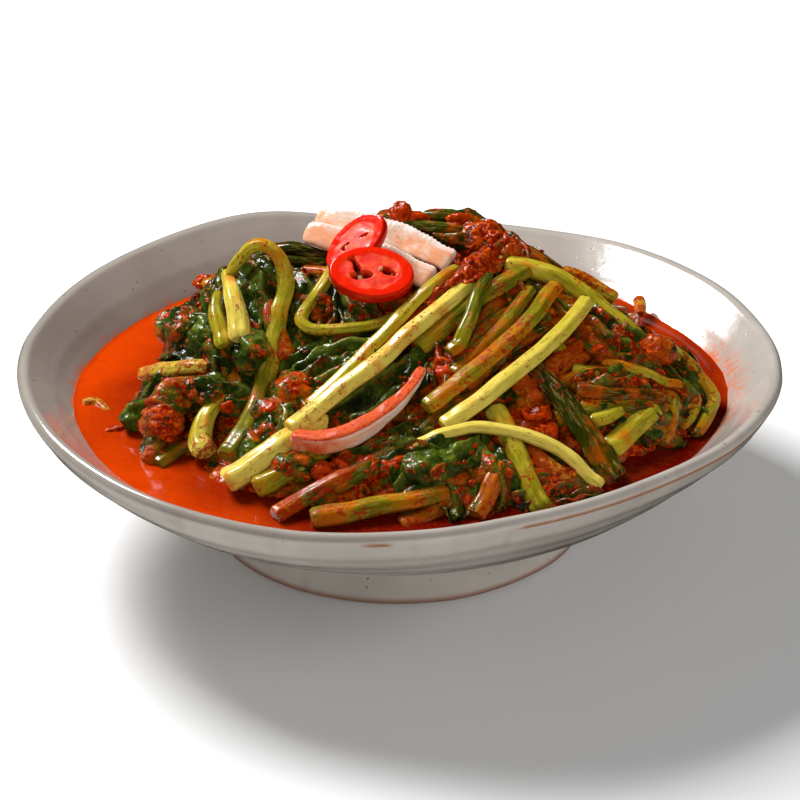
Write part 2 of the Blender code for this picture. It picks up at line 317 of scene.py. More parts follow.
def temporary(name, data):
    """A linked object that only serves to run modifiers."""
    made = bpy.data.objects.new(name, data)
    bpy.context.scene.collection.objects.link(made)
    return made


print("piece helpers ready")

# %% [markdown]
# ## The bowl
# The real bowl was thrown on a wheel and then pulled slightly oval by hand, so its rim rises and dips. Here
# it is made the same way: a profile is turned with the Screw modifier, and each vertex is then moved by the
# pulls that the hands gave it. The same numbers shaped the measured model, so the fine bowl fits it.

# %% The bowl's profile and the pulls round its rim
WHEEL_RADIUS = 118.0
INNER_WALL = (
    (30.0, 22.2), (52.0, 23.8), (70.0, 28.0), (86.0, 35.0), (97.0, 41.6), (104.0, 46.8), (110.0, 51.4),
    (113.6, 54.4),
)
LIP = ((115.0, 55.6), (116.8, 55.6), (118.0, 54.4), (118.0, 52.6))
OUTER_WALL = ((114.2, 46.6), (106.2, 39.8), (93.0, 30.6), (79.0, 22.6), (67.6, 16.8), (60.8, 13.8))
FOOT = ((59.2, 11.8), (59.6, 6.0), (61.2, 1.4), (60.4, 0.0), (52.0, 0.0), (51.0, 1.0), (49.2, 9.0), (45.4, 11.6))
FLOOR_TOP = 22.0
FLOOR_UNDER = 12.0
FOOT_RADIUS = 60.8
FOOT_SHIFT = -1.5
FOOT_SQUASH = 0.94
RIM_HALF_LENGTH = 118.6
RIM_HALF_DEPTH = 107.6
RIM_PULLS = (  # angle from +X in degrees, push outwards and lift in millimetres
    (0, -0.8, 1.8), (22, 0.2, 3.0), (45, 1.6, 2.2), (70, 2.2, 0.6), (98, 4.8, 0.6), (120, 4.0, 6.8),
    (145, 1.6, 5.8), (172, -0.4, 5.0), (200, 0.4, 3.4), (225, 0.8, 2.0), (250, -1.2, 0.2), (268, -0.9, 2.2),
    (286, -1.0, 5.0), (312, -3.0, 5.2), (338, -1.8, 3.8),
)
BACK_WALL_DRAW = 15.0
FRONT_WALL_DRAW = -3.5
DRAW_RADIUS = 98.0
DRAW_SPREAD = 20.0


def rim_pull(angle):
    """Push and lift of the rim at an angle."""
    turn = math.degrees(angle) % 360
    index = bisect.bisect_right([pull[0] for pull in RIM_PULLS], turn) - 1
    near = [RIM_PULLS[(index + step) % len(RIM_PULLS)] for step in (-1, 0, 1, 2)]
    share = (turn - near[1][0]) / ((near[2][0] - near[1][0]) % 360)
    return [between(*(pull[part] for pull in near), share) for part in (1, 2)]


def pulled(point):
    """Where a point of the round pot goes when the pot is pulled to its oval."""
    radius = math.hypot(point.x, point.y)
    share = min(max((radius - FOOT_RADIUS) / (WHEEL_RADIUS - FOOT_RADIUS), 0.0), 1.0)
    share = share * share * (3 - 2 * share)
    angle = math.atan2(point.y, point.x)
    side = math.sin(angle)
    push, lift = rim_pull(angle)
    across = math.hypot(RIM_HALF_DEPTH * math.cos(angle), RIM_HALF_LENGTH * side)
    oval = RIM_HALF_LENGTH * RIM_HALF_DEPTH / across
    draw = (BACK_WALL_DRAW if side > 0 else FRONT_WALL_DRAW) * abs(side) * share
    draw *= math.exp(-(((radius - DRAW_RADIUS) / DRAW_SPREAD) ** 2))
    reach = radius + share * ((oval + push) / WHEEL_RADIUS - 1) * radius - draw
    return Vector((
        reach * math.cos(angle) + FOOT_SHIFT * (1 - share),
        reach * side * (FOOT_SQUASH + (1 - FOOT_SQUASH) * share),
        point.z + lift * share**2.5,
    ))


print("the rim is", round(2 * RIM_HALF_LENGTH), "mm long")

# %% [markdown]
# The turned mesh carries three numbers for its finish: how near a vertex is to the lip's outer edge, where
# the glaze runs thin and the brown clay shows; whether it is the bare foot; and whether it faces inwards,
# which places the chili stain and the painted shade on the inner wall.

# %% Turn the bowl and pull it oval
TURN_STEPS = 216


def wall_height(radius):
    """Height of the inner wall at a distance from the axis, before the pot is pulled."""
    for (near, low), (far, high) in zip(((0.0, FLOOR_TOP), *INNER_WALL), (*INNER_WALL, (140.0, 60.0))):
        if radius <= far:
            return low + (high - low) * (radius - near) / (far - near)
    return 60.0


def turned_bowl():
    outline = ((0.0, FLOOR_UNDER), *reversed(FOOT), *reversed(OUTER_WALL), *reversed(LIP), *reversed(INNER_WALL))
    outline = list(reversed((*outline, (0.0, FLOOR_TOP))))
    profile = smooth_route(outline, 1.1)
    profile[0][0] = profile[-1][0] = 0.0
    mesh = bpy.data.meshes.new("bowl_outline")
    mesh.from_pydata([(max(r, 0.0) * MM, 0, z * MM) for r, z in profile], [(i, i + 1) for i in range(len(profile) - 1)], [])
    wheel = temporary("bowl_wheel", mesh)
    screw = wheel.modifiers.new("turn", "SCREW")
    screw.steps = screw.render_steps = TURN_STEPS
    screw.use_merge_vertices = True
    screw.merge_threshold = 0.01 * MM
    made = as_seen(wheel)
    edge, clay, inside = [], [], []
    for vertex in made.vertices:
        place = vertex.co / MM
        radius = math.hypot(place.x, place.y)
        edge.append(math.exp(-((radius - 118.0) ** 2 / 0.5 + (place.z - 52.9) ** 2 / 0.35)))
        clay.append(max(0.0, min(1.0, 1.7 - place.z / 1.3)) if radius > 48 else 0.0)
        inside.append(1.0 if place.z > wall_height(radius) - 1.0 else 0.0)
        thrown = 0.12 * math.sin(place.z * 1.1) if 16 < place.z < 50 else 0.0
        place = pulled(place) + wavy(place, 34.0, 1.7) * 0.5 + wavy(place, 9.0, 4.2) * 0.07
        outward = Vector((place.x, place.y, 0)).normalized() * thrown
        vertex.co = (place + outward) * MM
    for name, numbers in (("edge", edge), ("clay", clay), ("inside", inside)):
        store(made, name, numbers)
    return made


print("turning with", TURN_STEPS, "steps")

# %% [markdown]
# The glaze is a warm pale grey with a milky gloss, fine dark specks from iron in the clay, soft clouds, and a
# brown line where it thins over the lip. Chili oil has splashed a stippled orange film on the wall above
# the brine. The stain is stronger on the right, so its mask is made from height and side. The inner wall is
# painted darker as shade, most of all on the left, which faces away from the key light.


# %% Glaze
def glaze_finish():
    glaze = Finish("stoneware_glaze", Roughness=0.16, IOR=1.5, Coat_Weight=0.35, Coat_Roughness=0.05)
    side = glaze.node("ShaderNodeSeparateXYZ", {}, {0: glaze.place}, "X") * 1000.0
    clouds = glaze.noise(38.0, 4.0, 0.6)
    base = glaze.blend(clouds.rise(0.3, 0.7), srgb(182, 173, 163), srgb(200, 192, 183))
    streaks = glaze.noise(9.0, 3.0, 0.6, glaze.stretched(glaze.place, (1.0, 1.0, 0.25)))
    base = glaze.blend(streaks.rise(0.55, 0.8) * 0.35, base, srgb(150, 139, 128))
    specks = glaze.cells(3.6).rise(0.16, 0.06) * glaze.noise(9.0, 1.0).rise(0.5, 0.62)
    base = glaze.blend(specks * 0.75, base, srgb(92, 74, 58))
    pits = glaze.cells(1.3).rise(0.2, 0.08) * glaze.noise(5.0, 1.0).rise(0.52, 0.6)
    base = glaze.blend(pits * 0.25, base, srgb(120, 104, 88))
    # painted shade: the inner wall is darkened, and its left side more, as it faces away from the key light
    base = glaze.blend(glaze.part("inside") * side.rise(60.0, -70.0) * 0.45, base, srgb(112, 100, 90))
    base = glaze.blend(glaze.part("inside") * 0.36, base, srgb(122, 114, 106))
    broken = glaze.part("edge") * (glaze.noise(26.0, 3.0, 0.6) + side * 0.003).rise(0.5, 0.62)
    base = glaze.blend((broken * 1.4).least(0.85), base, srgb(150, 92, 48))
    stipple = glaze.noise(1.5, 3.0, 0.7).rise(0.42, 0.6) * 0.75 + glaze.noise(6.0, 3.0, 0.6).rise(0.45, 0.7) * 0.3
    reach = glaze.height + glaze.noise(9.0, 3.0) * 7.0
    splash = reach.rise(57.5, 50.5) * side.rise(88.0, 106.0) * stipple
    film = reach.rise(52.4, 50.0) * glaze.noise(10.0, 3.0).rise(0.36, 0.6) * 0.8
    stain = (splash + film).least(1.0) * glaze.part("inside")
    base = glaze.blend(stain * 0.8, base, srgb(214, 92, 8))
    base = glaze.blend(glaze.part("clay") * 0.9, base, srgb(150, 96, 66))
    relief = glaze.noise(26.0, 2.0) + glaze.noise(2.4, 2.0) * 0.12 - specks * 0.2
    rough = clouds * 0.08 + 0.12 + glaze.part("clay") * 0.5
    return glaze.finish(Base_Color=base, Roughness=rough, Normal=glaze.bump(relief, 0.8, 0.35))


bowl = piece("bowl_pot", turned_bowl(), glaze_finish(), "bowl")

# %% [markdown]
# ## The brine
# The brine is a shallow red pool. Its edge climbs the wall and the greens by a hair, which makes the bright
# line round it, and the surface trembles a little. It is drawn as rings that shrink from the wall's outline
# to the middle, with more rings near the wall, and closed below with the Solidify modifier. Its red is
# painted darker beside the greens and towards the front on the right, as the heap's shade and shadow.

# %% The pool of brine
POOL_SPOKES = 240
POOL_RINGS = 64
NEARING = [0.98 - 0.02 * step for step in range(13)]


def shore(angle):
    """Where the wall meets the brine's level at an angle."""
    wall = smooth_route(INNER_WALL, 0.4)
    for radius, height in wall:
        place = pulled(Vector((radius * math.cos(angle), radius * math.sin(angle), height)))
        if place.z >= BRINE_LEVEL + 0.35:
            return place
    return place


def pool_mesh():
    points, faces, near_greens = [], [], []
    for ring in range(POOL_RINGS + 1):
        share = 1 - (ring / POOL_RINGS) ** 1.8
        for spoke in range(POOL_SPOKES):
            edge = SHORE[spoke]
            place = Vector((edge.x * share, edge.y * share, BRINE_LEVEL))
            gap = (1 - share) * math.hypot(edge.x, edge.y)
            bank = heap_height(place.x, place.y) - BRINE_LEVEL
            place.z += 0.5 * math.exp(-gap / 0.9) + 0.5 * math.exp(-abs(min(bank, 0.0)) / 1.6)
            place.z += 0.14 * noise.noise(place / 9.0) + 0.07 * noise.noise(place / 3.0)
            points.append(place)
            # how far round a point the greens reach, which the brine's finish paints as shade
            covered = [heap_height(place.x * pull, place.y * pull) > BRINE_LEVEL for pull in NEARING]
            near_greens.append(sum(covered) / len(covered))
    for ring in range(POOL_RINGS):
        for spoke in range(POOL_SPOKES):
            near, far = ring * POOL_SPOKES, (ring + 1) * POOL_SPOKES
            after = (spoke + 1) % POOL_SPOKES
            faces.append((near + spoke, near + after, far + after, far + spoke))
    return mesh_of("brine", points, faces, near=near_greens)


SHORE = [shore(2 * math.pi * spoke / POOL_SPOKES) for spoke in range(POOL_SPOKES)]


def ashore(x, y, share=0.96):
    """The place, drawn towards the middle if it is nearer the wall than a share of the way there."""
    edge = SHORE[round(math.atan2(y, x) * POOL_SPOKES / (2 * math.pi)) % POOL_SPOKES]
    pull = min(1.0, share * math.hypot(edge.x, edge.y) / max(math.hypot(x, y), 1.0))
    return x * pull, y * pull


print("the pool is", round(SHORE[0].x - SHORE[POOL_SPOKES // 2].x), "mm long")


# %% Brine finish
def brine_finish():
    brine = Finish("chili_brine", IOR=1.34, Specular_IOR_Level=0.35, Coat_Weight=0.1, Coat_Roughness=0.03)
    side = brine.node("ShaderNodeSeparateXYZ", {}, {0: brine.place}, "X") * 1000.0
    front = brine.node("ShaderNodeSeparateXYZ", {}, {0: brine.place}, "Y") * 1000.0
    # painted shadow: the red turns dark beside the greens and towards the front right, where the heap's shadow falls;
    # the noise adds the brine's own uneven tone
    shade = side.rise(-52.0, 8.0) * front.rise(-8.0, -40.0) + brine.part("near") * 0.55
    depth = (brine.noise(22.0, 3.0, 0.6) * 0.5 - 0.2 + shade).rise(0.1, 0.95)
    base = brine.blend(depth, srgb(196, 58, 0), srgb(98, 9, 0))
    grain = brine.noise(1.1, 2.0, 0.6).rise(0.56, 0.72)
    base = brine.blend(grain * 0.2, base, srgb(196, 76, 2))
    dregs = brine.noise(6.0, 4.0, 0.7).rise(0.52, 0.7)
    base = brine.blend(dregs * 0.3, base, srgb(146, 28, 0))
    rough = brine.noise(14.0, 2.0) * 0.06 + 0.05
    ripple = brine.noise(5.0, 2.0) + grain * 0.15
    return brine.finish(Base_Color=base, Roughness=rough, Normal=brine.bump(ripple, 0.25, 0.4))


pool = temporary("brine_pool_making", pool_mesh())
shell = pool.modifiers.new("shell", "SOLIDIFY")
shell.thickness, shell.offset = 2.5 * MM, -1.0
brine_pool = piece("brine_pool", as_seen(pool), brine_finish(), "brine")

# %% [markdown]
# ## Recipes for what repeats
# Stems, flakes and seeds are the same few shapes over and over, so they are left to Geometry Nodes: a recipe
# is a tree with named inputs, it is run on a guide, and its result is kept as a plain mesh.


# %% A recipe: a Geometry Nodes tree with named inputs
class Recipe(Wiring):
    """A Geometry Nodes tree that turns a guide into finished shapes."""

    KINDS = {float: "NodeSocketFloat", int: "NodeSocketInt", bpy.types.Material: "NodeSocketMaterial",
             bpy.types.Object: "NodeSocketObject"}

    def __init__(self, name, **inputs):
        self.tree = bpy.data.node_groups.new(name, "GeometryNodeTree")
        self.tree.interface.new_socket("Guide", in_out="INPUT", socket_type="NodeSocketGeometry")
        self.tree.interface.new_socket("Shapes", in_out="OUTPUT", socket_type="NodeSocketGeometry")
        for label, kind in inputs.items():
            self.tree.interface.new_socket(label, in_out="INPUT", socket_type=self.KINDS[kind])
        self.entry = self.tree.nodes.new("NodeGroupInput")
        self.guide = self.given("Guide")

    def given(self, label):
        return Value(self, self.entry.outputs[label])

    def number(self, name):
        """A number that the guide carries at each point."""
        return self.node("GeometryNodeInputNamedAttribute", {"data_type": "FLOAT"}, {0: name})

    def keep(self, geometry, name, value):
        settings = {"data_type": "FLOAT", "domain": "POINT"}
        return self.node("GeometryNodeStoreNamedAttribute", settings, {0: geometry, "Name": name, "Value": value})

    def vector(self, x, y, z):
        return self.node("ShaderNodeCombineXYZ", {}, {0: x, 1: y, 2: z})

    def random(self, low, high, seed):
        """A number or, between two triples, a vector for each point."""
        if isinstance(low, tuple):
            return self.node("FunctionNodeRandomValue", {"data_type": "FLOAT_VECTOR"}, {0: low, 1: high, "Seed": seed})
        return self.node("FunctionNodeRandomValue", {"data_type": "FLOAT"}, {2: low, 3: high, "Seed": seed}, 1)

    def serve(self, geometry):
        """Ends the tree: real geometry with its material."""
        real = self.node("GeometryNodeRealizeInstances", {}, {0: geometry})
        done = self.node("GeometryNodeSetMaterial", {}, {0: real, "Material": self.given("Material")})
        self.tree.links.new(done.socket, self.tree.nodes.new("NodeGroupOutput").inputs[0])

    def run(self, guide, **values):
        """The recipe's result on a guide object, as a plain mesh."""
        modifier = guide.modifiers.new("recipe", "NODES")
        modifier.node_group = self.tree
        for item in self.tree.interface.items_tree:
            if item.in_out == "INPUT" and item.name in values:
                modifier[item.identifier] = values[item.name]
        return as_seen(guide)


print("recipes ready")

# %% [markdown]
# ## The stems
# A radish stem is a ribbed stalk, a little hollow along one side, thick and pale at its root end and thin and
# green where its leaf begins. A guide line carries the stem's width at each point, and the recipe sweeps a
# ribbed outline along it. The swept skin keeps the place round and along the stem, for fibres and stains.

# %% The recipe for stems
def stem_recipe():
    recipe = Recipe("ribbed_stems", Sides=int, Ribs=float, Rib_depth=float, Hollow=float, Material=bpy.types.Material)
    ring = recipe.node("GeometryNodeCurvePrimitiveCircle", {}, {"Resolution": recipe.given("Sides"), "Radius": 1.0})
    turn = recipe.node("GeometryNodeSplineParameter", {}, {}) * (2 * math.pi)
    across, up = turn.math("COSINE", turn), turn.math("SINE", turn)
    ribs = turn.math("COSINE", turn * recipe.given("Ribs"))
    reach = 1.0 + ribs * recipe.given("Rib_depth") - recipe.given("Hollow") * (up.most(0.0) ** 3.0)
    outline = recipe.vector(across * reach, up * reach * 0.86, 0.0)
    ring = recipe.node("GeometryNodeSetPosition", {}, {0: ring, "Position": outline})
    ring = recipe.keep(recipe.keep(ring, "around_x", across), "around_y", up)
    line = recipe.node("GeometryNodeMeshToCurve", {}, {0: recipe.guide})
    line = recipe.node("GeometryNodeSetCurveNormal", {"mode": "Z_UP"}, {0: line})
    width = recipe.number("width") * (0.5 * MM)
    swept = {"Curve": line, "Profile Curve": ring, "Scale": width, "Fill Caps": True}
    recipe.serve(recipe.node("GeometryNodeCurveToMesh", {}, swept))
    return recipe


RIBBED_STEMS = stem_recipe()
print("stem recipe inputs:", [item.name for item in RIBBED_STEMS.tree.interface.items_tree])

# %% [markdown]
# Each stem of the real heap that can be told apart has a line here: its width, how pale it is, how much sauce
# is on it, how much narrower its far end is, and a few places that it passes.

# %% The stems on top of the heap
STEMS = {  # width, paleness, sauce, far end's share of the width, points of x, y and height above the hill
    "long_bright": (
        6.2, 1.1, 0.25, 0.85,
        ((-32, -58, 6), (-21, -48, 6), (-9, -40, 6), (1, -30, 5), (11, -22, 5), (18, -14, 4), (25, -5, 3), (30, 4, 2)),
    ),
    "long_pale": (4.8, 0.8, 0.3, 0.9, ((-27, -48, 4), (-17, -40, 5), (-8, -31, 5), (0, -22, 5), (9, -13, 5), (17, -4, 3))),
    "pale_butt": (8.6, 1.15, 0.25, 0.75, ((-50, -69, 3), (-43, -66, 4), (-37, -63, 4), (-30, -57, 3), (-22, -50, 1))),
    "green_butt": (8.4, 0.5, 0.3, 0.7, ((-42, -71, 2), (-35, -69, 2), (-29, -66, 2), (-20, -60, 1))),
    "sauced_low": (6.0, 0.3, 0.8, 0.7, ((-35, -83, 1), (-27, -77, 3), (-18, -73, 3), (-11, -69, 1))),
    "front_olive": (7.0, 0.5, 0.5, 0.8, ((-25, -85, 1), (-15, -83, 2), (-5, -80, 3), (4, -79, 3), (13, -76, 2))),
    "front_dark": (6.5, 0.3, 0.5, 0.8, ((20, -82, 0), (24, -75, 2), (28, -67, 2))),
    "down_right": (7.0, (0.5, 0.8), 0.3, 0.9, ((40, -78, 0), (35, -69, 2), (31, -59, 2), (27, -49, 2))),
    "pale_curved": (
        4.6, (1.3, 1.15), 0.0, 0.75,
        ((57, -67, 0), (51, -64, 3), (44, -61, 4), (37, -60, 5), (29, -59, 5), (21, -59, 5), (14, -61, 5), (8, -62, 4),
         (3, -64, 2)),
    ),
    "dark_thick": (8.4, 0.12, 0.25, 0.7, ((62, -63, 0), (56, -56, 3), (50, -50, 4), (43, -41, 3), (37, -32, 1))),
    "pale_crossing": (
        6.0, 1.0, 0.12, 0.9, ((12, -58, 3), (21, -52, 5), (29, -45, 5), (37, -37, 5), (45, -28, 5), (51, -19, 5), (56, -8, 4)),
    ),
    "fan_middle": (
        6.0, 0.6, 0.5, 0.9, ((7, -52, 3), (16, -45, 4), (25, -37, 4), (33, -29, 4), (39, -21, 4), (44, -10, 3), (47, -4, 3)),
    ),
    "fan_dark": (5.4, 0.5, 0.45, 0.8, ((15, -40, 1), (22, -33, 2), (29, -25, 2), (35, -16, 2), (39, -8, 2))),
    "fan_upper": (7.0, 0.5, 0.35, 0.8, ((5, -31, 1), (13, -24, 2), (21, -17, 2), (30, -10, 3), (38, -1, 3))),
    "fan_green_tip": (4.6, 0.45, 0.2, 0.8, ((14, -36, 3), (17, -33, 5), (20, -26, 6), (23, -17, 6), (26, -7, 5))),
    "ridge_right": (
        7.6, 0.75, 0.3, 0.8, ((32, 2, 1), (42, 0, 3), (49, -1, 3), (57, -4, 3), (62, -8, 3), (68, -12, 3), (75, -16, 1)),
    ),
    "behind_right": (6.0, 0.75, 0.7, 0.8, ((50, 10, 1), (59, 9, 2), (67, 5, 2))),
    "right_yellow": (4.6, 0.75, 0.5, 0.8, ((60, -27, 2), (68, -29, 3), (77, -28, 3), (84, -25, 2))),
    "right_arch": (5.0, 0.7, 0.5, 0.7, ((73, -10, 1), (82, -13, 3), (90, -16, 4), (95, -20, 4), (92, -30, 3), (88, -38, 1))),
    "right_arch_inner": (3.6, 0.8, 0.6, 0.7, ((84, -25, 2), (89, -25, 3), (87, -32, 3), (84, -36, 1))),
    "right_dark": (6.0, 0.15, 0.4, 0.8, ((51, -40, 2), (62, -39, 3), (77, -33, 2))),
    "right_dark_low": (4.4, 0.35, 0.3, 0.8, ((57, -43, 2), (66, -41, 2), (77, -36, 2))),
    "right_stub": (8.0, 0.75, 0.2, 0.8, ((60, -53, 1), (67, -46, 2), (75, -37, 2))),
    "right_stub_back": (6.0, 0.75, 0.3, 0.8, ((55, -47, 1), (60, -45, 2), (65, -40, 1))),
    "right_thin": (5.0, 0.5, 0.4, 0.7, ((77, -43, 0), (80, -37, 2), (82, -28, 2))),
    "right_bit": (4.0, 0.8, 0.7, 0.8, ((79.5, 46, 5.5), (79.5, 41, 4), (79, 36, 0))),
    "under_crossing": (7.0, 0.9, 0.95, 0.9, ((31, -35, 1), (36, -42, 1), (39, -47, 1))),
    "low_orange": (6.0, 0.95, 1.0, 0.8, ((36, -58, 0), (39, -63, 1), (44, -66, 1), (49, -65, 0))),
    "arch": (
        4.4, (0.85, 0.3), 0.3, 1.8,
        ((-53, 4, -2), (-52, -1, 2), (-51, -2, 8), (-48, -2, 12), (-44, -2, 14), (-39, -3, 14), (-36, -5, 11),
         (-35, -10, 6), (-37, -16, 3), (-40, -31, 2), (-43, -43, 3), (-46, -52, 3), (-50, -60, 2)),
    ),
    "loop_knob": (6.6, 1.0, 0.15, 0.5, ((-48, -27, 5), (-49, -20, 6), (-51, -12, 6), (-54, 3, 4))),
    "loop_inner": (5.8, 0.65, 0.25, 0.6, ((-53, -26, 3), (-54, -21, 4), (-56, -14, 4), (-56, -6, 4))),
    "left_short": (6.2, 0.95, 0.5, 0.8, ((-79, -13, 1), (-71, -22, 2), (-64, -26, 3), (-58, -28, 3))),
    "left_yellow": (7.6, (0.95, 0.6), 0.35, 0.55, ((-57, -54, 1), (-59, -49, 3), (-58, -43, 3), (-55, -38, 3), (-52, -35, 2))),
    "left_under": (5.0, 0.4, 0.4, 0.8, ((-71, -54, 0), (-66, -49, 1), (-60, -48, 1))),
    "hook": (
        4.2, 0.75, 0.25, 0.9,
        ((-21, 4, 3), (-23, -3, 6), (-25, -7, 6), (-28, -13, 6), (-30, -18, 5), (-28, -21, 5), (-23, -22, 5),
         (-16, -23, 5), (-9, -23, 4), (-5, -22, 4), (-2, -19, 2)),
    ),
    "hook_over": (4.0, 0.4, 0.6, 0.8, ((-31, 8, 3), (-24, 4, 4), (-19, -3, 1))),
    "long_blade": (4.4, 0.22, 0.15, 0.8, ((-4, 20, 6), (4, 17, 5), (12, 15, 4), (19, 14, 4), (27, 13, 3))),
    "long_blade_back": (4.4, 0.15, 0.3, 0.8, ((7, 25, 4), (15, 22, 4), (22, 19, 3), (30, 15, 2))),
    "back_dark": (5.6, 0.12, 0.2, 0.7, ((-42, 15, 4), (-36, 14, 7), (-30, 13, 9), (-22, 14, 6))),
    "back_dark_low": (5.0, 0.2, 0.2, 0.7, ((-40, 12, 2), (-34, 11, 5), (-28, 11, 6), (-21, 12, 5))),
    "small_right": (5.0, 0.6, 0.3, 0.8, ((43, -23, 1), (48, -29, 1))),
    "small_right_low": (6.0, 0.6, 0.2, 0.9, ((50, -33, 1), (58, -33, 1))),
    "floating_bit": (3.4, 0.85, 0.7, 0.8, ((-98, -17, 0), (-94, -16, 0), (-90, -21, -1))),
}
STEM_PATCHES = (  # middle and half size of a patch, direction in degrees and its spread, how many, height
    (28, -22, 30, 22, 42, 10, 13, 0.6),
    (62, -30, 22, 20, 20, 45, 9, 0.4),
    (14, -62, 34, 14, 25, 20, 8, 0.4),
    (-48, -22, 16, 28, 95, 18, 7, 0.4),
    (26, 26, 32, 14, -8, 20, 8, -1.8),
    (-34, 24, 24, 16, 20, 35, 6, -1.0),
    (62, 18, 20, 16, -30, 25, 6, -2.0),
    (10, 44, 50, 12, 5, 25, 9, -0.5),
)
STEM_STEP = 1.3


def stem_guides(stems, name):
    """One mesh of guide lines: each stem's points with the numbers that the recipe and the finish read."""
    points, edges = [], []
    numbers = {label: [] for label in ("width", "pale", "sauce", "along", "share")}
    for order, (width, pale, sauce, far, route) in enumerate(stems):
        near_pale, far_pale = pale if isinstance(pale, tuple) else (pale, pale - 0.15)
        line = stiffened(laid_route(route, STEM_STEP), 3)
        start, run = len(points), 0.0
        for index, place in enumerate(line):
            share = index / (len(line) - 1)
            run += (place - line[index - 1]).length if index else 0.0
            rounded = min(1.0, 0.8 + 0.2 * min(index, len(line) - 1 - index))
            bulge = 1 + 0.1 * noise.noise(Vector((run / 9.0, order * 5.1, 0.0)))
            points.append(place + wavy(place, 11.0, order) * 0.5)
            values = (width * (1 + (far - 1) * share**1.4) * bulge * rounded, near_pale + (far_pale - near_pale) * share, sauce, run, share)
            for label, value in zip(numbers, values):
                numbers[label].append(value)
            if index:
                edges.append((start + index - 1, start + index))
    mesh = bpy.data.meshes.new(name)
    mesh.from_pydata([place * MM for place in points], edges, [])
    for label, values in numbers.items():
        store(mesh, label, values)
    return temporary(name, mesh)


def scattered_stems(seed):
    """Short stems that fill the heap between and behind the ones that can be told apart."""
    chance = random.Random(seed)
    stems = []
    for x, y, half_x, half_y, heading, spread, count, up in STEM_PATCHES:
        for _ in range(count):
            middle = Vector((x + chance.uniform(-half_x, half_x), y + chance.uniform(-half_y, half_y)))
            turn = math.radians(heading + chance.uniform(-spread, spread))
            reach = Vector((math.cos(turn), math.sin(turn))) * chance.uniform(12, 22)
            bend = Vector((-reach.y, reach.x)) * chance.uniform(-0.2, 0.2)
            lift = up + chance.uniform(-0.8, 1.2) - sunken(*middle)
            places = [middle + reach * share + bend * (1 - share * share) for share in (-1, 0, 1)]
            route = [(*ashore(*place, 0.93), lift - drop) for place, drop in zip(places, (1.5, 0.0, 1.5))]
            stems.append((chance.uniform(4.6, 7.4), chance.uniform(0.05, 0.6), chance.uniform(0.3, 0.8), 0.7, route))
    return stems


print(len(STEMS), "stems told apart,", sum(patch[6] for patch in STEM_PATCHES), "more between them")

# %% [markdown]
# A stem's colour runs from pale yellow-green to dark olive with its paleness and towards its leafy end. Fibres
# are noise stretched along the stem. Sauce lies on it in patches: an orange film, and darker red grains.


# %% Stem finish
def stem_finish():
    stem = Finish("radish_stem", IOR=1.34, Specular_IOR_Level=0.35, Coat_Weight=0.1, Coat_Roughness=0.04)
    stem.shader.inputs["Subsurface Weight"].default_value = 0.15
    stem.shader.inputs["Subsurface Radius"].default_value = (0.003, 0.0025, 0.0008)
    stem.shader.inputs["Subsurface Scale"].default_value = 0.5
    skin = stem.node("ShaderNodeCombineXYZ", {}, {
        0: stem.part("around_x") * 0.003, 1: stem.part("around_y") * 0.003, 2: stem.part("along") * 0.0002,
    })
    fibres = stem.noise(0.8, 3.0, 0.6, skin)
    bands = stem.noise(2.2, 2.0, 0.5, skin)
    blotch = stem.noise(12.0, 3.0, 0.55)
    sauce = stem.part("sauce")
    green = stem.part("pale") + (blotch - 0.5) * 0.5 + (bands - 0.5) * 0.35
    stops = [(0.0, srgb(26, 30, 3)), (0.28, srgb(68, 72, 5)), (0.52, srgb(130, 120, 14)), (0.78, srgb(180, 162, 38)),
             (1.0, srgb(212, 190, 82))]
    base = stem.node("ShaderNodeValToRGB", {"stops": stops}, {0: green})
    base = stem.blend(fibres.rise(0.5, 0.8) * 0.35, base, srgb(224, 208, 112))
    base = stem.blend(fibres.rise(0.5, 0.25) * 0.5, base, srgb(66, 74, 6))
    film = (stem.noise(9.0, 4.0, 0.6) * 0.7 + bands * 0.3 + sauce * 0.26).rise(0.56, 0.74)
    base = stem.blend(film * 0.72, base, srgb(188, 80, 0))
    grains = (stem.noise(1.3, 3.0, 0.7) * 0.6 + stem.noise(8.0, 3.0, 0.6) * 0.4 + sauce * 0.18).rise(0.61, 0.66)
    base = stem.blend(grains * 0.85, base, srgb(150, 34, 0))
    relief = fibres * 0.15 + bands * 0.6 + grains * 0.4 + stem.noise(3.0, 1.0) * 0.3
    rough = 0.14 + grains * 0.08 + fibres * 0.06
    return stem.finish(Base_Color=base, Roughness=rough, Normal=stem.bump(relief, 0.5, 0.5))


STEM_FINISH = stem_finish()
SWEEP = {"Sides": 28, "Ribs": 6.0, "Rib_depth": 0.06, "Hollow": 0.22, "Material": STEM_FINISH}
top_mesh = RIBBED_STEMS.run(stem_guides(STEMS.values(), "stem_guides"), **SWEEP)
top_stems = piece("stems_on_top", top_mesh, None, "greens_heap")
deep_mesh = RIBBED_STEMS.run(stem_guides(scattered_stems(11), "deep_guides"), **{**SWEEP, "Sides": 16, "Rib_depth": 0.0})
deep_stems = piece("stems_between", deep_mesh, None, "greens_heap")

# %% [markdown]
# ## The bed of greens
# Under the stems lies a mass of wilted leaves. Its body is a block under the hill, remeshed evenly and then
# crumpled with ridged noise, which folds sharply like wet leaves do.


# %% Crumpling
def crease(point, size, seed=0.0):
    """Ridged noise from -1 to 1: round valleys between sharp folds about so many millimetres apart."""
    return 1 - 2.6 * abs(noise.noise(point / size + Vector((seed, 3.1 * seed, -2.3 * seed))))


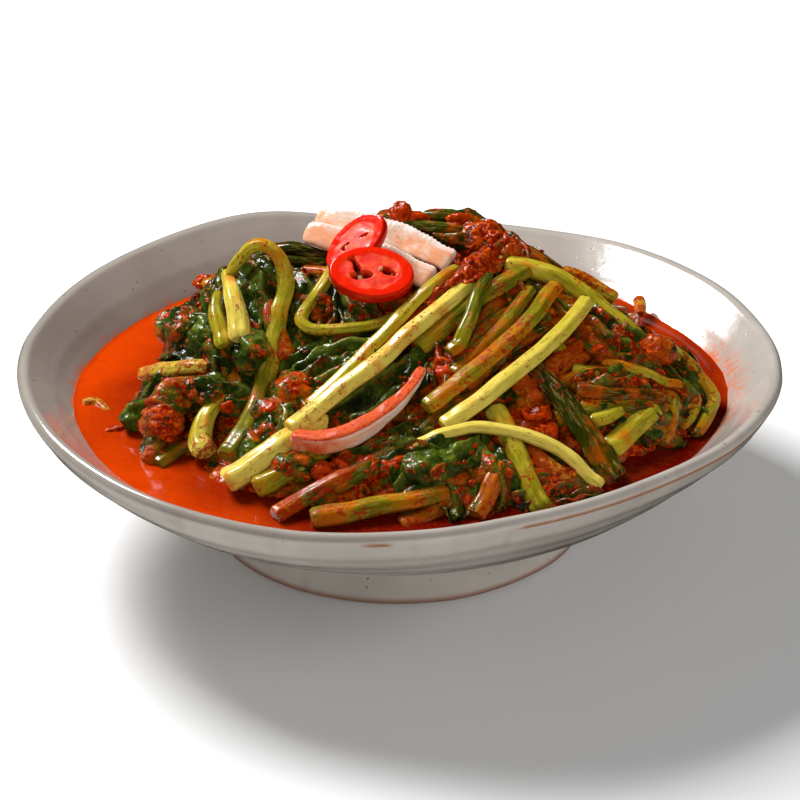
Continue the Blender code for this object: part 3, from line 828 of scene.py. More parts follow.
def crumple(mesh, folds, seed, stretch=(1.0, 1.0, 1.0)):
    """Moves each vertex along its normal by folds of several sizes; a number below 1 draws them out."""
    moves, ridges = [], []
    reach = sum(depth for size, depth in folds)
    for vertex in mesh.vertices:
        place = vertex.co / MM
        place += wavy(place, 9.0, seed) * 2.0
        place = Vector([part * share for part, share in zip(place, stretch)])
        rise = sum(depth * crease(place, size, seed) for size, depth in folds)
        moves.append(vertex.co + vertex.normal * (rise * MM))
        ridges.append(rise / reach)
    for vertex, place in zip(mesh.vertices, moves):
        vertex.co = place
    store(mesh, "ridge", ridges)


LEAF_FOLDS = ((11.0, 1.5), (5.2, 0.9), (2.4, 0.45))
print("folds of", [size for size, depth in LEAF_FOLDS], "mm")

# %% The body of the bed
CORE_DROP = 2.6
CORE_FLOOR = 44.0
CORE_CELL = 2.0
CORE_VOXEL = 1.15


def hill_block():
    """A closed block whose top is a little below the hill."""
    block = bmesh.new()
    bmesh.ops.create_grid(block, x_segments=100, y_segments=76, size=1.0)
    for vertex in block.verts:
        x, y = vertex.co.x * 50 * CORE_CELL, vertex.co.y * 38 * CORE_CELL
        vertex.co = Vector((x, y, heap_height(x, y) - CORE_DROP - sunken(x, y))) * MM
    low = [face for face in block.faces if min(vertex.co.z for vertex in face.verts) < CORE_FLOOR * MM]
    bmesh.ops.delete(block, geom=low, context="FACES")
    raised = bmesh.ops.extrude_face_region(block, geom=block.faces[:], use_keep_orig=True)["geom"]
    for part in raised:
        if isinstance(part, bmesh.types.BMVert):
            part.co.z = CORE_FLOOR * MM
    bmesh.ops.recalc_face_normals(block, faces=block.faces[:])
    mesh = bpy.data.meshes.new("hill_block")
    block.to_mesh(mesh)
    block.free()
    return mesh


def bed_mesh():
    making = temporary("bed_making", hill_block())
    remesh = making.modifiers.new("even", "REMESH")
    remesh.mode, remesh.voxel_size = "VOXEL", CORE_VOXEL * MM
    mesh = as_seen(making)
    crumple(mesh, LEAF_FOLDS, 2.7)
    for vertex in mesh.vertices:
        vertex.co.z = max(vertex.co.z, CORE_FLOOR * MM)
    store(mesh, "vein", [0.0] * len(mesh.vertices))
    store(mesh, "sauce", [0.55] * len(mesh.vertices))
    return mesh


# %% [markdown]
# Wilted leaf is almost black-green, thin enough for its veins to show paler, and coated in a wet orange-red
# film with grains of chili. The film gathers where the sauce number is high. Light and shade are painted along
# the crumpled folds: the crests lighter with a bright orange film, the hollows nearly black.


# %% Leaf finish
def leaf_finish():
    leaf = Finish("wilted_leaf", IOR=1.34, Specular_IOR_Level=0.3, Coat_Weight=0.12, Coat_Roughness=0.03)
    fine = leaf.noise(1.5, 4.0, 0.65)
    ridge = leaf.part("ridge")
    # painted highlight: the leaf is a little lighter on the crests of its folds
    tone = leaf.noise(9.0, 4.0, 0.6) + (fine - 0.5) * 0.4 + ridge * 0.1
    stops = [(0.3, srgb(14, 18, 4)), (0.46, srgb(30, 42, 8)), (0.58, srgb(52, 68, 14)), (0.72, srgb(92, 104, 26))]
    base = leaf.node("ShaderNodeValToRGB", {"stops": stops}, {0: tone})
    base = leaf.blend(leaf.part("vein") * 0.6, base, srgb(112, 120, 40))
    sauce = leaf.part("sauce")
    film = (leaf.noise(8.0, 4.0, 0.65, leaf.stretched(leaf.place, (1.0, 1.2, 0.8))) + sauce * 0.26 + ridge * 0.05).rise(0.6, 0.78)
    # painted highlight: the sauce film turns bright orange on the crests of the folds
    base = leaf.blend(film * 0.75, base, leaf.blend((ridge + fine * 0.6).rise(0.1, 0.7), srgb(120, 22, 0), srgb(206, 76, 0)))
    grains = (leaf.noise(1.6, 3.0, 0.7) * 0.5 + leaf.noise(6.5, 3.0, 0.6) * 0.5 + sauce * 0.2 + ridge * 0.06).rise(0.61, 0.67)
    base = leaf.blend(grains, base, leaf.blend(fine.rise(0.45, 0.62), srgb(134, 22, 0), srgb(204, 76, 0)))
    # painted shade: the hollows between the folds are darkened almost to black
    base = leaf.blend((ridge + fine * 0.3).rise(0.25, -0.5) * 0.9, base, srgb(18, 8, 1))
    relief = leaf.noise(3.0, 2.0, 0.5) + grains * 0.25 + leaf.noise(1.5, 1.0, 0.5) * 0.3
    rough = 0.12 + grains * 0.06 + fine * 0.05
    return leaf.finish(Base_Color=base, Roughness=rough, Normal=leaf.bump(relief, 1.0, 0.7))


LEAF_FINISH = leaf_finish()
bed = piece("bed_of_greens", bed_mesh(), LEAF_FINISH, "greens_heap")

# %% [markdown]
# A leaf is a sheet gathered along its middle rib: pleats run with it, the thin skin puffs up between the side
# veins, and all of it is crumpled. Each one here has a route over the hill, a width and a share of sauce.

# %% The leaves that can be told apart
LEAVES = {  # width, pleats, sauce, points of x, y and height above the hill
    "under_arch": (15, 2, 0.25, ((-50, 12, 2), (-47, 2, 5), (-43, -8, 5), (-42, -18, 2), (-43, -30, 1))),
    "right_of_arch": (17, 3, 0.3, ((-35, 8, 1), (-30, 0, 4), (-26, -9, 4), (-26, -20, 2))),
    "beside_chili": (13, 2, 0.15, ((-46, 20, 3), (-34, 19, 5), (-24, 15, 3))),
    "beside_chili_low": (12, 2, 0.2, ((-42, 13, 2), (-32, 11, 4), (-21, 8, 2))),
    "in_the_hook": (11, 2, 0.5, ((-22, -3, 3), (-16, -10, 4), (-11, -18, 3), (-8, -24, 1))),
    "below_hook": (17, 3, 0.12, ((-33, -33, 2), (-25, -30, 4), (-16, -29, 4), (-6, -30, 3))),
    "below_hook_low": (15, 3, 0.25, ((-35, -40, 2), (-26, -39, 4), (-16, -37, 3), (-6, -36, 1))),
    "left_clump": (16, 3, 0.35, ((-42, -34, 1), (-36, -44, 4), (-32, -56, 3), (-34, -64, 0))),
    "left_clump_low": (14, 2, 0.3, ((-29, -42, 2), (-34, -50, 4), (-41, -58, 1))),
    "brine_left": (12, 2, 0.3, ((-68, -22, 1), (-76, -25, 2), (-83, -29, 0))),
    "left_top": (15, 3, 0.4, ((-72, 4, 1), (-65, -6, 4), (-60, -17, 4), (-56, -26, 1))),
    "left_top_low": (13, 2, 0.3, ((-72, -8, 1), (-64, -17, 4), (-58, -25, 3), (-55, -34, 1))),
    "under_knobs": (14, 3, 0.25, ((-60, -30, 1), (-52, -33, 3), (-45, -36, 2))),
    "veined": (14, 1, 0.1, ((-28, -54, 1), (-18, -48, 3), (-8, -43, 3), (0, -36, 3), (6, -30, 1))),
    "veined_low": (10, 2, 0.2, ((-20, -55, 1), (-9, -50, 2), (1, -43, 2), (8, -36, 1))),
    "front_leaf": (16, 3, 0.1, ((-3, -76, 1), (7, -71, 3), (15, -66, 4), (22, -60, 2))),
    "front_middle": (14, 3, 0.4, ((-18, -66, 1), (-6, -64, 3), (6, -64, 3), (16, -66, 1))),
    "front_right": (13, 2, 0.35, ((20, -60, 2), (25, -69, 3), (29, -78, 0))),
    "front_right_low": (12, 2, 0.3, ((8, -66, 1), (14, -75, 2), (16, -84, 0))),
    "crest_bundle": (12, 3, 0.6, ((14, 15, 2), (22, 12, 4), (30, 8, 4), (36, 6, 1))),
    "crest_bundle_back": (12, 3, 0.6, ((20, 22, 1), (28, 18, 4), (34, 12, 3), (37, 4, 1))),
    "crest_down": (9, 2, 0.8, ((34, 12, 4), (28, 2, 6), (23, -6, 6.5), (17, -11, 6.5), (12, -15, 6), (8, -19, 4))),
    "right_bundle": (16, 3, 0.6, ((48, -10, 1), (56, -16, 4), (64, -21, 5), (73, -22, 3), (80, -22, 1))),
    "right_bundle_up": (15, 3, 0.5, ((52, -3, 1), (60, -10, 4), (68, -15, 4), (77, -15, 3), (84, -14, 1))),
    "right_low": (12, 2, 0.6, ((50, -43, 1), (60, -38, 4), (70, -35, 4), (79, -34, 1))),
    "right_low_front": (12, 2, 0.3, ((50, -48, 1), (60, -43, 3), (72, -39, 3), (82, -38, 1))),
    "right_end": (11, 2, 0.45, ((78, -12, 1), (85, -14, 3), (91, -18, 3), (95, -26, 1))),
    "right_end_low": (11, 2, 0.4, ((79, -21, 1), (87, -24, 3), (91, -30, 3), (88, -40, 0))),
    "fan_left": (13, 2, 0.6, ((6, -22, 1), (10, -30, 2), (13, -38, 2), (12, -48, 1))),
    "fan_top": (12, 2, 0.5, ((26, 2, 1), (34, -8, 2), (42, -16, 2), (48, -24, 1))),
}
LEAF_COLUMNS = 26
LEAF_STEP = 0.95
VEIN_SPACING = 4.4


def leaf_sheet(width, pleats, sauce, route, seed):
    """The points, faces and numbers of one wilted leaf laid over the hill."""
    line = smooth_route(route, LEAF_STEP)
    points, faces, veins, sauces = [], [], [], []
    for row, (x, y, up) in enumerate(line):
        along = row / (len(line) - 1)
        near, far = line[max(row - 1, 0)], line[min(row + 1, len(line) - 1)]
        side = Vector((near[1] - far[1], far[0] - near[0])).normalized()
        half = width / 2 * (0.35 + 0.65 * math.sin(math.pi * (0.06 + 0.88 * along)) ** 0.7)
        for column in range(LEAF_COLUMNS + 1):
            across = 2 * column / LEAF_COLUMNS - 1
            lobes = 1 + 0.3 * abs(across) * noise.noise(Vector((along * width * 0.35, math.copysign(9, across), seed)))
            reach = half * across * lobes
            place_x, place_y = ashore(x + side.x * reach, y + side.y * reach)
            height = max(ground(place_x, place_y) + up, LOWEST)
            fold = 0.085 * width * math.cos(across * math.pi * pleats + 2.4 * noise.noise(Vector((along * 5, seed, 0))))
            rows_of_veins = row * LEAF_STEP / VEIN_SPACING - abs(across) * 1.4
            puff = abs(math.sin(math.pi * rows_of_veins)) ** 0.5
            rib = math.exp(-((across / 0.09) ** 2))
            place = Vector((place_x, place_y, height + fold + 0.3 * puff - 0.45 * across**2 * up))
            crumpled = wavy(place, 10.0, seed) * 1.9 + wavy(place, 4.2, seed + 3) * 0.9 + wavy(place, 1.9, seed + 5) * 0.3
            threads = crease(Vector((reach, along * 4.0, seed)), 2.1, seed)
            place += crumpled + Vector((0, 0, 0.7 * crease(place, 5.0, seed) + 0.4 * threads))
            points.append(place)
            veins.append(max(rib, 0.6 * max(0.0, 1 - 3.5 * puff)))
            sauces.append(sauce)
        if row:
            for column in range(LEAF_COLUMNS):
                corner = (row - 1) * (LEAF_COLUMNS + 1) + column
                faces.append((corner, corner + LEAF_COLUMNS + 1, corner + LEAF_COLUMNS + 2, corner + 1))
    return points, faces, veins, sauces


def leaf_layer(leaves, name, thickness=0.4):
    """Many leaves as one mesh, each skin given its thickness."""
    points, faces, veins, sauces = [], [], [], []
    for order, leaf in enumerate(leaves):
        more = leaf_sheet(*leaf, 11.3 + 4.7 * order)
        faces += [tuple(corner + len(points) for corner in face) for face in more[1]]
        points += more[0]
        veins += more[2]
        sauces += more[3]
    making = temporary(name, mesh_of(name, points, faces, vein=veins, sauce=sauces))
    skin = making.modifiers.new("skin", "SOLIDIFY")
    skin.thickness, skin.offset = thickness * MM, 0.0
    return as_seen(making)


top_leaves = piece("leaves_on_top", leaf_layer(LEAVES.values(), "top_leaves"), LEAF_FINISH, "greens_heap")

# %% [markdown]
# Some leaves have rolled up into wads, and sauce clings to them. A wad is a few egg shapes that an even
# remesh melts together and the same folds crumple.

# %% Wads of leaf
LEAF_WADS = (  # place, height above the hill, half sizes, heading in degrees and sauce
    (-60, -34, 1.5, 8.0, 5.0, 5.0, 15, 0.45), (-67, -36, 2.0, 8.0, 5.5, 6.5, 35, 0.6), (-70, -41, 2.0, 5.8, 7.0, 6.5, 0, 0.7),
    (-72, -46, 0.5, 4.8, 6.0, 5.0, -10, 0.5), (-79, -30, 1.0, 3.6, 5.5, 4.0, -30, 0.0), (-86.5, -33, -0.6, 3.4, 1.8, 1.6, 10, 0.9),
    (-43, -59, 1.0, 3.8, 3.8, 3.8, 0, 0.0), (-59.5, -19, 2.5, 3.8, 3.6, 3.6, 0, 0.0), (-31, -38, 1.0, 8.0, 6.0, 5.0, 60, 0.45),
    (-37, -45, 1.0, 7.0, 6.0, 5.0, 40, 0.4), (-40, -54, 1.0, 5.5, 6.0, 4.5, 0, 0.2), (-66, -8, 1.0, 6.0, 8.0, 6.0, 10, 0.3),
    (-70, 3, 0.5, 6.0, 6.0, 4.0, 0, 0.3), (-45, -26, 1.0, 5.0, 8.0, 5.0, 10, 0.15), (-25, -9, 1.5, 6.0, 5.0, 5.0, 30, 0.35),
    (75, -16, 1.5, 8.0, 4.5, 3.6, -20, 0.6), (17, 27, 0.5, 9.0, 5.0, 4.5, -15, 0.4), (24, 14, 1.5, 8.0, 5.0, 5.0, -30, 0.6),
    (32, 8, 0.5, 6.0, 5.0, 4.5, -40, 0.6), (-2, 22, 3.0, 6.0, 5.0, 5.0, 0, 0.6), (8, -70, 1.0, 8.0, 5.0, 4.5, 20, 0.1),
    (-30, -66, 0.5, 7.0, 4.0, 4.0, 20, 0.4),
)
WAD_FOLDS = ((7.5, 1.3), (3.6, 0.8), (1.8, 0.35))


def melted(eggs, voxel, folds, seed):
    """One crumpled skin round many egg shapes, each vertex with the sauce of the nearest egg."""
    made = bmesh.new()
    middles = []
    for x, y, up, half_x, half_y, half_z, heading, sauce in eggs:
        middle = Vector((x, y, ground(x, y) + up))
        middles.append((middle, (half_x + half_y) / 2, sauce))
        turn = Matrix.Rotation(math.radians(heading), 4, "Z")
        shape = Matrix.Scale(MM, 4) @ Matrix.Translation(middle) @ turn @ Matrix.Diagonal((half_x, half_y, half_z, 1.0))
        bmesh.ops.create_icosphere(made, subdivisions=4, radius=1.0, matrix=shape)
    mesh = bpy.data.meshes.new("eggs")
    made.to_mesh(mesh)
    made.free()
    making = temporary("wads_making", mesh)
    remesh = making.modifiers.new("even", "REMESH")
    remesh.mode, remesh.voxel_size = "VOXEL", voxel * MM
    mesh = as_seen(making)
    crumple(mesh, folds, seed, (0.6, 0.6, 1.3))
    sauces = []
    for vertex in mesh.vertices:
        place = vertex.co / MM
        sauces.append(min(((place - middle).length - reach, sauce) for middle, reach, sauce in middles)[1])
    store(mesh, "vein", [0.0] * len(sauces))
    store(mesh, "sauce", sauces)
    return mesh


wads = piece("leaf_wads", melted(LEAF_WADS, 0.75, WAD_FOLDS, 6.3), LEAF_FINISH, "greens_heap")

# %% [markdown]
# More leaves fill the rest of the heap, also behind it. They follow the same recipe, with routes drawn at
# random inside patches.

# %% Leaves between and behind
LEAF_PATCHES = (  # middle and half size of a patch, heading and its spread, how many, sauce, height
    (34, -26, 34, 26, 42, 25, 9, 0.5, -0.9),
    (66, -30, 22, 22, 10, 60, 8, 0.45, -1.2),
    (10, -64, 38, 14, 15, 40, 8, 0.6, 0.2),
    (-48, -20, 20, 30, 95, 35, 9, 0.4, 0.2),
    (-24, -22, 14, 20, 60, 60, 5, 0.35, 0.2),
    (14, 24, 30, 16, -5, 40, 10, 0.5, -3.0),
    (-40, 26, 24, 14, 20, 50, 7, 0.4, -1.6),
    (58, 16, 18, 14, -30, 40, 6, 0.5, -3.4),
    (8, 46, 54, 12, 5, 30, 9, 0.45, -0.8),
)


def scattered_leaves(seed):
    chance = random.Random(seed)
    leaves = []
    for x, y, half_x, half_y, heading, spread, count, sauce, lift in LEAF_PATCHES:
        for _ in range(count):
            middle = Vector((x + chance.uniform(-half_x, half_x), y + chance.uniform(-half_y, half_y)))
            turn = math.radians(heading + chance.uniform(-spread, spread))
            reach = Vector((math.cos(turn), math.sin(turn))) * chance.uniform(9, 15)
            bend = Vector((-reach.y, reach.x)) * chance.uniform(-0.3, 0.3)
            up = lift + chance.uniform(-0.7, 1.0) - sunken(*middle)
            places = [middle + reach * share + bend * (1 - share * share) for share in (-1, 0, 1)]
            route = [(*ashore(*place, 0.93), up - drop) for place, drop in zip(places, (1.2, 0.0, 1.2))]
            leaves.append((chance.uniform(9, 15), chance.choice((1, 2, 3)), sauce + chance.uniform(-0.25, 0.25), route))
    return leaves


more_leaves = scattered_leaves(5)
half = len(more_leaves) // 2
front_layer = leaf_layer(more_leaves[:half], "front_layer")
back_layer = leaf_layer(more_leaves[half:], "back_layer")
piece("leaves_between_front", front_layer, LEAF_FINISH, "greens_heap")
piece("leaves_between_back", back_layer, LEAF_FINISH, "greens_heap")

# %% [markdown]
# ## The red chili slices
# Two slanting slices of red chili lie on top. A slice is an oval disc with a thick glossy wall, and inside it
# a paler membrane that is sunken between two open seed chambers, which are painted dark as shade. It is
# drawn in rings from the middle of its cut face, over its edge and back to the middle underneath.

# %% One slice of chili
CHILI_HALF_LENGTH = 13.0
CHILI_HALF_WIDTH = 9.8
CHILI_THICKNESS = 3.8
CHILI_ROUND = 1.3
CHILI_SPOKES = 108
CHILI_SLICES = {  # length and width beside the first's, middle, and tilts about X, Y and Z in degrees
    "front": ((1.0, 1.0, 1.0), (-9, -11, 87.8), (25, 4, -8)),
    "back": ((0.88, 0.78, 0.88), (-13.8, 2.6, 91.8), (13, -39, 28)),
}
CHAMBERS = {  # middle and half sizes of each seed chamber, and its turn in degrees
    "front": ((-5.0, 1.4, 1.0, 3.6, 36), (-2.7, -1.8, 3.2, 1.25, 18), (4.7, 0.7, 2.4, 1.2, -22)),
    "back": ((-3.4, 1.6, 1.9, 0.7, 16), (3.4, -1.2, 1.3, 0.6, -24)),
}


def smooth(value, low, high):
    share = min(max((value - low) / (high - low), 0.0), 1.0)
    return share * share * (3 - 2 * share)


def chamber_depth(x, y, chambers):
    """How deep a place on the cut face lies inside a seed chamber, from 0 to 1."""
    deep = 0.0
    for middle_x, middle_y, half_x, half_y, turn in chambers:
        place = Vector((x - middle_x, y - middle_y, 0)) + wavy(Vector((x, y, 4.0)), 2.6) * 0.9
        place.rotate(Euler((0, 0, -math.radians(turn))))
        deep = max(deep, smooth((place.x / half_x) ** 2 + (place.y / half_y) ** 2, 1.25, 0.6))
    return deep


def chili_rings():
    """Each ring's share of the outline and its height, from the middle of the face to the middle below."""
    top = CHILI_THICKNESS / 2
    rings = [(0.94 * ring / 30, top) for ring in range(31)]
    for step in range(1, 8):
        turn = math.pi * step / 8
        rings.append((0.94 + 0.06 * math.sin(turn), top * math.cos(turn)))
    return rings + [(0.94 * (1 - ring / 12), -top) for ring in range(13)]


def chili_slice(name):
    share, middle, tilts = CHILI_SLICES[name]
    points, faces, flesh, pith, pit = [], [], [], [], []
    rings = chili_rings()
    for reach, height in rings:
        for spoke in range(CHILI_SPOKES):
            turn = 2 * math.pi * spoke / CHILI_SPOKES
            ahead, aside = math.cos(turn), math.sin(turn)
            uneven = 1 + 0.05 * noise.noise(Vector((ahead, aside, share[0] * 9))) - 0.015 * math.cos(3 * turn)
            x, y = CHILI_HALF_LENGTH * reach * uneven * ahead, CHILI_HALF_WIDTH * reach * uneven * aside
            inner = smooth(reach + 0.1 * noise.noise(Vector((x, y, 5)) / 3.0), 0.76, 0.64) if height > 0 else 0.0
            deep = chamber_depth(x, y, CHAMBERS[name]) * inner if height > 0 else 0.0
            sunk = inner * (0.16 + 0.24 * noise.noise(Vector((x, y, 2)) / 2.8)) + 3.0 * deep
            points.append(Vector((x, y, height - sunk + 0.12 * noise.noise(Vector((x, y, height)) / 2.5))))
            flesh.append(smooth(reach, 0.985, 0.93) if height > 0 else 0.4)
            pith.append(inner)
            pit.append(deep)
    for ring in range(len(rings) - 1):
        for spoke in range(CHILI_SPOKES):
            near, after = ring * CHILI_SPOKES, (spoke + 1) % CHILI_SPOKES
            faces.append((near + spoke, near + CHILI_SPOKES + spoke, near + CHILI_SPOKES + after, near + after))
    turned = Euler([math.radians(tilt) for tilt in tilts]).to_matrix()
    sized = Matrix.Diagonal(share)
    points = [Vector(middle) + turned @ sized @ point for point in points]
    return mesh_of(f"chili_{name}", points, faces, flesh=flesh, pith=pith, pit=pit)


def closed(mesh):
    """Merges doubled points, such as those at a pole, and turns all faces outwards."""
    made = bmesh.new()
    made.from_mesh(mesh)
    bmesh.ops.remove_doubles(made, verts=made.verts[:], dist=0.004 * MM)
    bmesh.ops.recalc_face_normals(made, faces=made.faces[:])
    made.to_mesh(mesh)
    made.free()
    return mesh


# %% Chili finish
def chili_finish():
    chili = Finish("red_chili", IOR=1.38, Coat_Weight=0.18, Coat_Roughness=0.05)
    chili.shader.inputs["Subsurface Weight"].default_value = 0.2
    chili.shader.inputs["Subsurface Radius"].default_value = (0.004, 0.001, 0.0005)
    chili.shader.inputs["Subsurface Scale"].default_value = 0.4
    mottle = chili.noise(3.0, 4.0, 0.6)
    base = chili.blend(chili.part("flesh"), srgb(178, 10, 0), srgb(220, 28, 2))
    base = chili.blend(mottle.rise(0.45, 0.75) * 0.4, base, srgb(236, 62, 14))
    base = chili.blend(chili.part("pith") * mottle.rise(0.4, 0.66) * 0.65, base, srgb(232, 92, 22))
    # painted shade: the open seed chambers are darkened
    base = chili.blend(chili.part("pit") * 0.92, base, srgb(84, 12, 3))
    relief = mottle * 0.5 + chili.noise(0.9, 2.0) * 0.15
    rough = 0.12 + chili.part("pith") * 0.3 + mottle * 0.06
    return chili.finish(Base_Color=base, Roughness=rough, Normal=chili.bump(relief, 0.35, 0.5))


CHILI_FINISH = chili_finish()
for name in CHILI_SLICES:
    piece(f"chili_{name}", closed(chili_slice(name)), CHILI_FINISH, f"chili_slice_{name}")

# %% [markdown]
# Flat cream seeds still cling to the membranes beside the chambers.

# %% Chili seeds
SEEDS = {  # the slice it is in, and each seed's place on the slice, height and turns in degrees
    "front": ((2.4, 1.3, 1.6, 70, 10, 66), (-3.2, -1.4, -0.8, 30, 40, 10), (6.4, 1.2, -0.4, 50, -20, 70)),
    "back": ((-3.0, 1.2, 0.6, 40, 20, 0),),
}
SEED_HALF = Vector((1.15, 0.9, 0.28))


def seed_mesh():
    made = bmesh.new()
    for name, seeds in SEEDS.items():
        share, middle, tilts = CHILI_SLICES[name]
        turned = Euler([math.radians(tilt) for tilt in tilts]).to_matrix().to_4x4()
        for x, y, height, *turns in seeds:
            lying = Euler([math.radians(turn) for turn in turns]).to_matrix().to_4x4()
            place = Matrix.Translation(Vector(middle)) @ turned @ Matrix.Translation(Matrix.Diagonal(share) @ Vector((x, y, height)))
            shape = Matrix.Scale(MM, 4) @ place @ lying @ Matrix.Diagonal((*SEED_HALF, 1.0))
            bmesh.ops.create_icosphere(made, subdivisions=3, radius=1.0, matrix=shape)
    mesh = bpy.data.meshes.new("seeds")
    made.to_mesh(mesh)
    made.free()
    return mesh


def seed_finish():
    seed = Finish("chili_seed", Roughness=0.3, Coat_Weight=0.4, Coat_Roughness=0.1)
    cloud = seed.noise(0.9, 3.0, 0.6)
    base = seed.blend(cloud.rise(0.35, 0.7), srgb(236, 212, 150), srgb(214, 160, 86))
    return seed.finish(Base_Color=base, Normal=seed.bump(cloud, 0.1, 0.5))


piece("chili_seeds", seed_mesh(), seed_finish(), "chili_slice_front")

# %% [markdown]
# ## The onion slices
# The onion is cut across its layers, so a slice is a curved strip with a nearly square section. The two behind
# the chili are pale and wet, and their upper edge is crinkled by the cut. The one in front has soaked up the
# sauce on its upper side and runs out to a thin end.

# %% The onion strips
ONIONS = {  # width, thickness, lean in degrees, near and far end's share of the size, crinkle, stain, route
    "front": (
        6.2, 5.4, 6, 0.95, 0.3, 0.0, 1.0,
        ((-31, -62, 60.2), (-23, -64, 60.7), (-16, -63, 61.7), (-9, -59, 63.7), (-2, -53, 66.7), (3, -47, 69.7),
         (6, -41, 72.2)),
    ),
    "back": (
        10.0, 3.4, -50, 0.85, 0.75, 1.0, 0.15,
        ((-27, 25, 90.2), (-21, 22, 90.6), (-15, 19, 90.7), (-8, 15, 90.2), (0, 11, 89.7), (8, 5, 88.5), (15, 0, 86.8)),
    ),
    "middle": (
        9.4, 3.4, -54, 0.8, 0.8, 0.6, 0.3,
        ((-30, 18, 88.7), (-24, 15, 88.6), (-18, 12, 87.7), (-11, 8, 86.8), (-4, 3, 86.2), (3, -2, 85.0), (9, -6, 83.8)),
    ),
}
ONION_SIDES = 44
ONION_STEP = 0.55


def signed_power(value, power):
    return math.copysign(abs(value) ** power, value)


def onion_strip(name):
    width, thickness, lean, near_end, far_end, crinkle, stain, route = ONIONS[name]
    line = [Vector(place) for place in smooth_route(route, ONION_STEP)]
    tip = math.radians(lean)
    points, faces, acrosses, runs = [], [], [], []
    last = len(line) - 1
    for row, place in enumerate(line):
        along = row / last
        ahead = (line[min(row + 1, last)] - line[max(row - 1, 0)]).normalized()
        side = ahead.cross(Vector((0, 0, 1))).normalized()
        up = side.cross(ahead)
        broad = up * math.cos(tip) + side * math.sin(tip)
        thin = side * math.cos(tip) - up * math.sin(tip)
        blunt = min(1.0, 0.6 + 0.4 * math.sqrt(min(row, last - row) / 3.0))
        size = (near_end + (1 - near_end) * smooth(along, 0.0, 0.35)) * (far_end + (1 - far_end) * smooth(along, 1.0, 0.4))
        for corner in range(ONION_SIDES):
            turn = 2 * math.pi * corner / ONION_SIDES
            high, out = signed_power(math.sin(turn), 0.55), signed_power(math.cos(turn), 0.5)
            ridges = crinkle * 0.16 * smooth(high, 0.2, 0.9) * math.sin(row * ONION_STEP * 4.2 + 2.0 * math.sin(row * 0.31))
            where = place + broad * (width / 2 * high * size * blunt) + thin * ((thickness / 2 * blunt + ridges) * out * (0.4 + 0.6 * size))
            where += broad * crinkle * 0.22 * max(high, 0) * math.sin(row * ONION_STEP * 4.2 + 1.0)
            points.append(where + wavy(where, 5.0, width) * 0.35)
            acrosses.append(high)
            runs.append(row * ONION_STEP)
    for row in range(last):
        for corner in range(ONION_SIDES):
            near, after = row * ONION_SIDES, (corner + 1) % ONION_SIDES
            faces.append((near + corner, near + after, near + ONION_SIDES + after, near + ONION_SIDES + corner))
    faces += [tuple(range(ONION_SIDES)), tuple(last * ONION_SIDES + corner for corner in range(ONION_SIDES))]
    mesh = closed(mesh_of(f"onion_{name}", points, faces, across=acrosses, run=runs))
    stains = []
    for vertex in mesh.vertices:
        soaked_end = 0.62 * smooth(vertex.co.x / MM, -4.0, -26.0)
        stains.append(stain * max(0.15 + 0.85 * smooth(vertex.normal.z, 0.1, 0.6), soaked_end))
    store(mesh, "stain", stains)
    return mesh


def onion_finish():
    onion = Finish("wet_onion", IOR=1.36, Specular_IOR_Level=0.4, Coat_Weight=0.08, Coat_Roughness=0.04)
    onion.shader.inputs["Subsurface Weight"].default_value = 0.2
    onion.shader.inputs["Subsurface Radius"].default_value = (0.006, 0.004, 0.003)
    onion.shader.inputs["Subsurface Scale"].default_value = 0.6
    lines = onion.node("ShaderNodeCombineXYZ", {}, {0: onion.part("across") * 0.004, 1: onion.part("run") * 0.0003, 2: 0.0})
    veins = onion.noise(0.9, 3.0, 0.6, lines)
    base = onion.blend(veins.rise(0.35, 0.7), srgb(210, 184, 160), srgb(230, 212, 196))
    blush = onion.noise(7.0, 3.0, 0.6) + onion.part("stain") * 0.5
    base = onion.blend(blush.rise(0.42, 0.75) * 0.75, base, srgb(228, 142, 90))
    base = onion.blend(onion.part("across").rise(0.3, 0.9) * 0.6, base, srgb(222, 216, 212))
    soaked = onion.part("stain") + (onion.noise(4.0, 4.0, 0.6) - 0.5) * 0.7
    base = onion.blend(soaked.rise(0.4, 0.75) * 0.95, base, srgb(206, 76, 0))
    grains = (onion.noise(1.2, 3.0, 0.7) + onion.part("stain") * 0.16).rise(0.68, 0.74)
    base = onion.blend(grains * 0.8, base, srgb(176, 34, 6))
    relief = veins * 0.5 + grains * 0.5 + onion.noise(1.8, 2.0) * 0.4
    rough = 0.14 + grains * 0.1 + veins * 0.06
    return onion.finish(Base_Color=base, Roughness=rough, Normal=onion.bump(relief, 0.3, 0.4))


ONION_FINISH = onion_finish()
for name in ONIONS:
    piece(f"onion_{name}", onion_strip(name), ONION_FINISH, f"onion_slice_{name}")

# %% [markdown]
# ## Chili paste and flakes
# The seasoning is ground chili and garlic in a wet paste. It gathers in lumps between the stems, and single
# flakes stick to everything. Both are sown by one recipe: points spread over the greens where their sown
# number is high, each with a blob or a flake of its own size and turn.


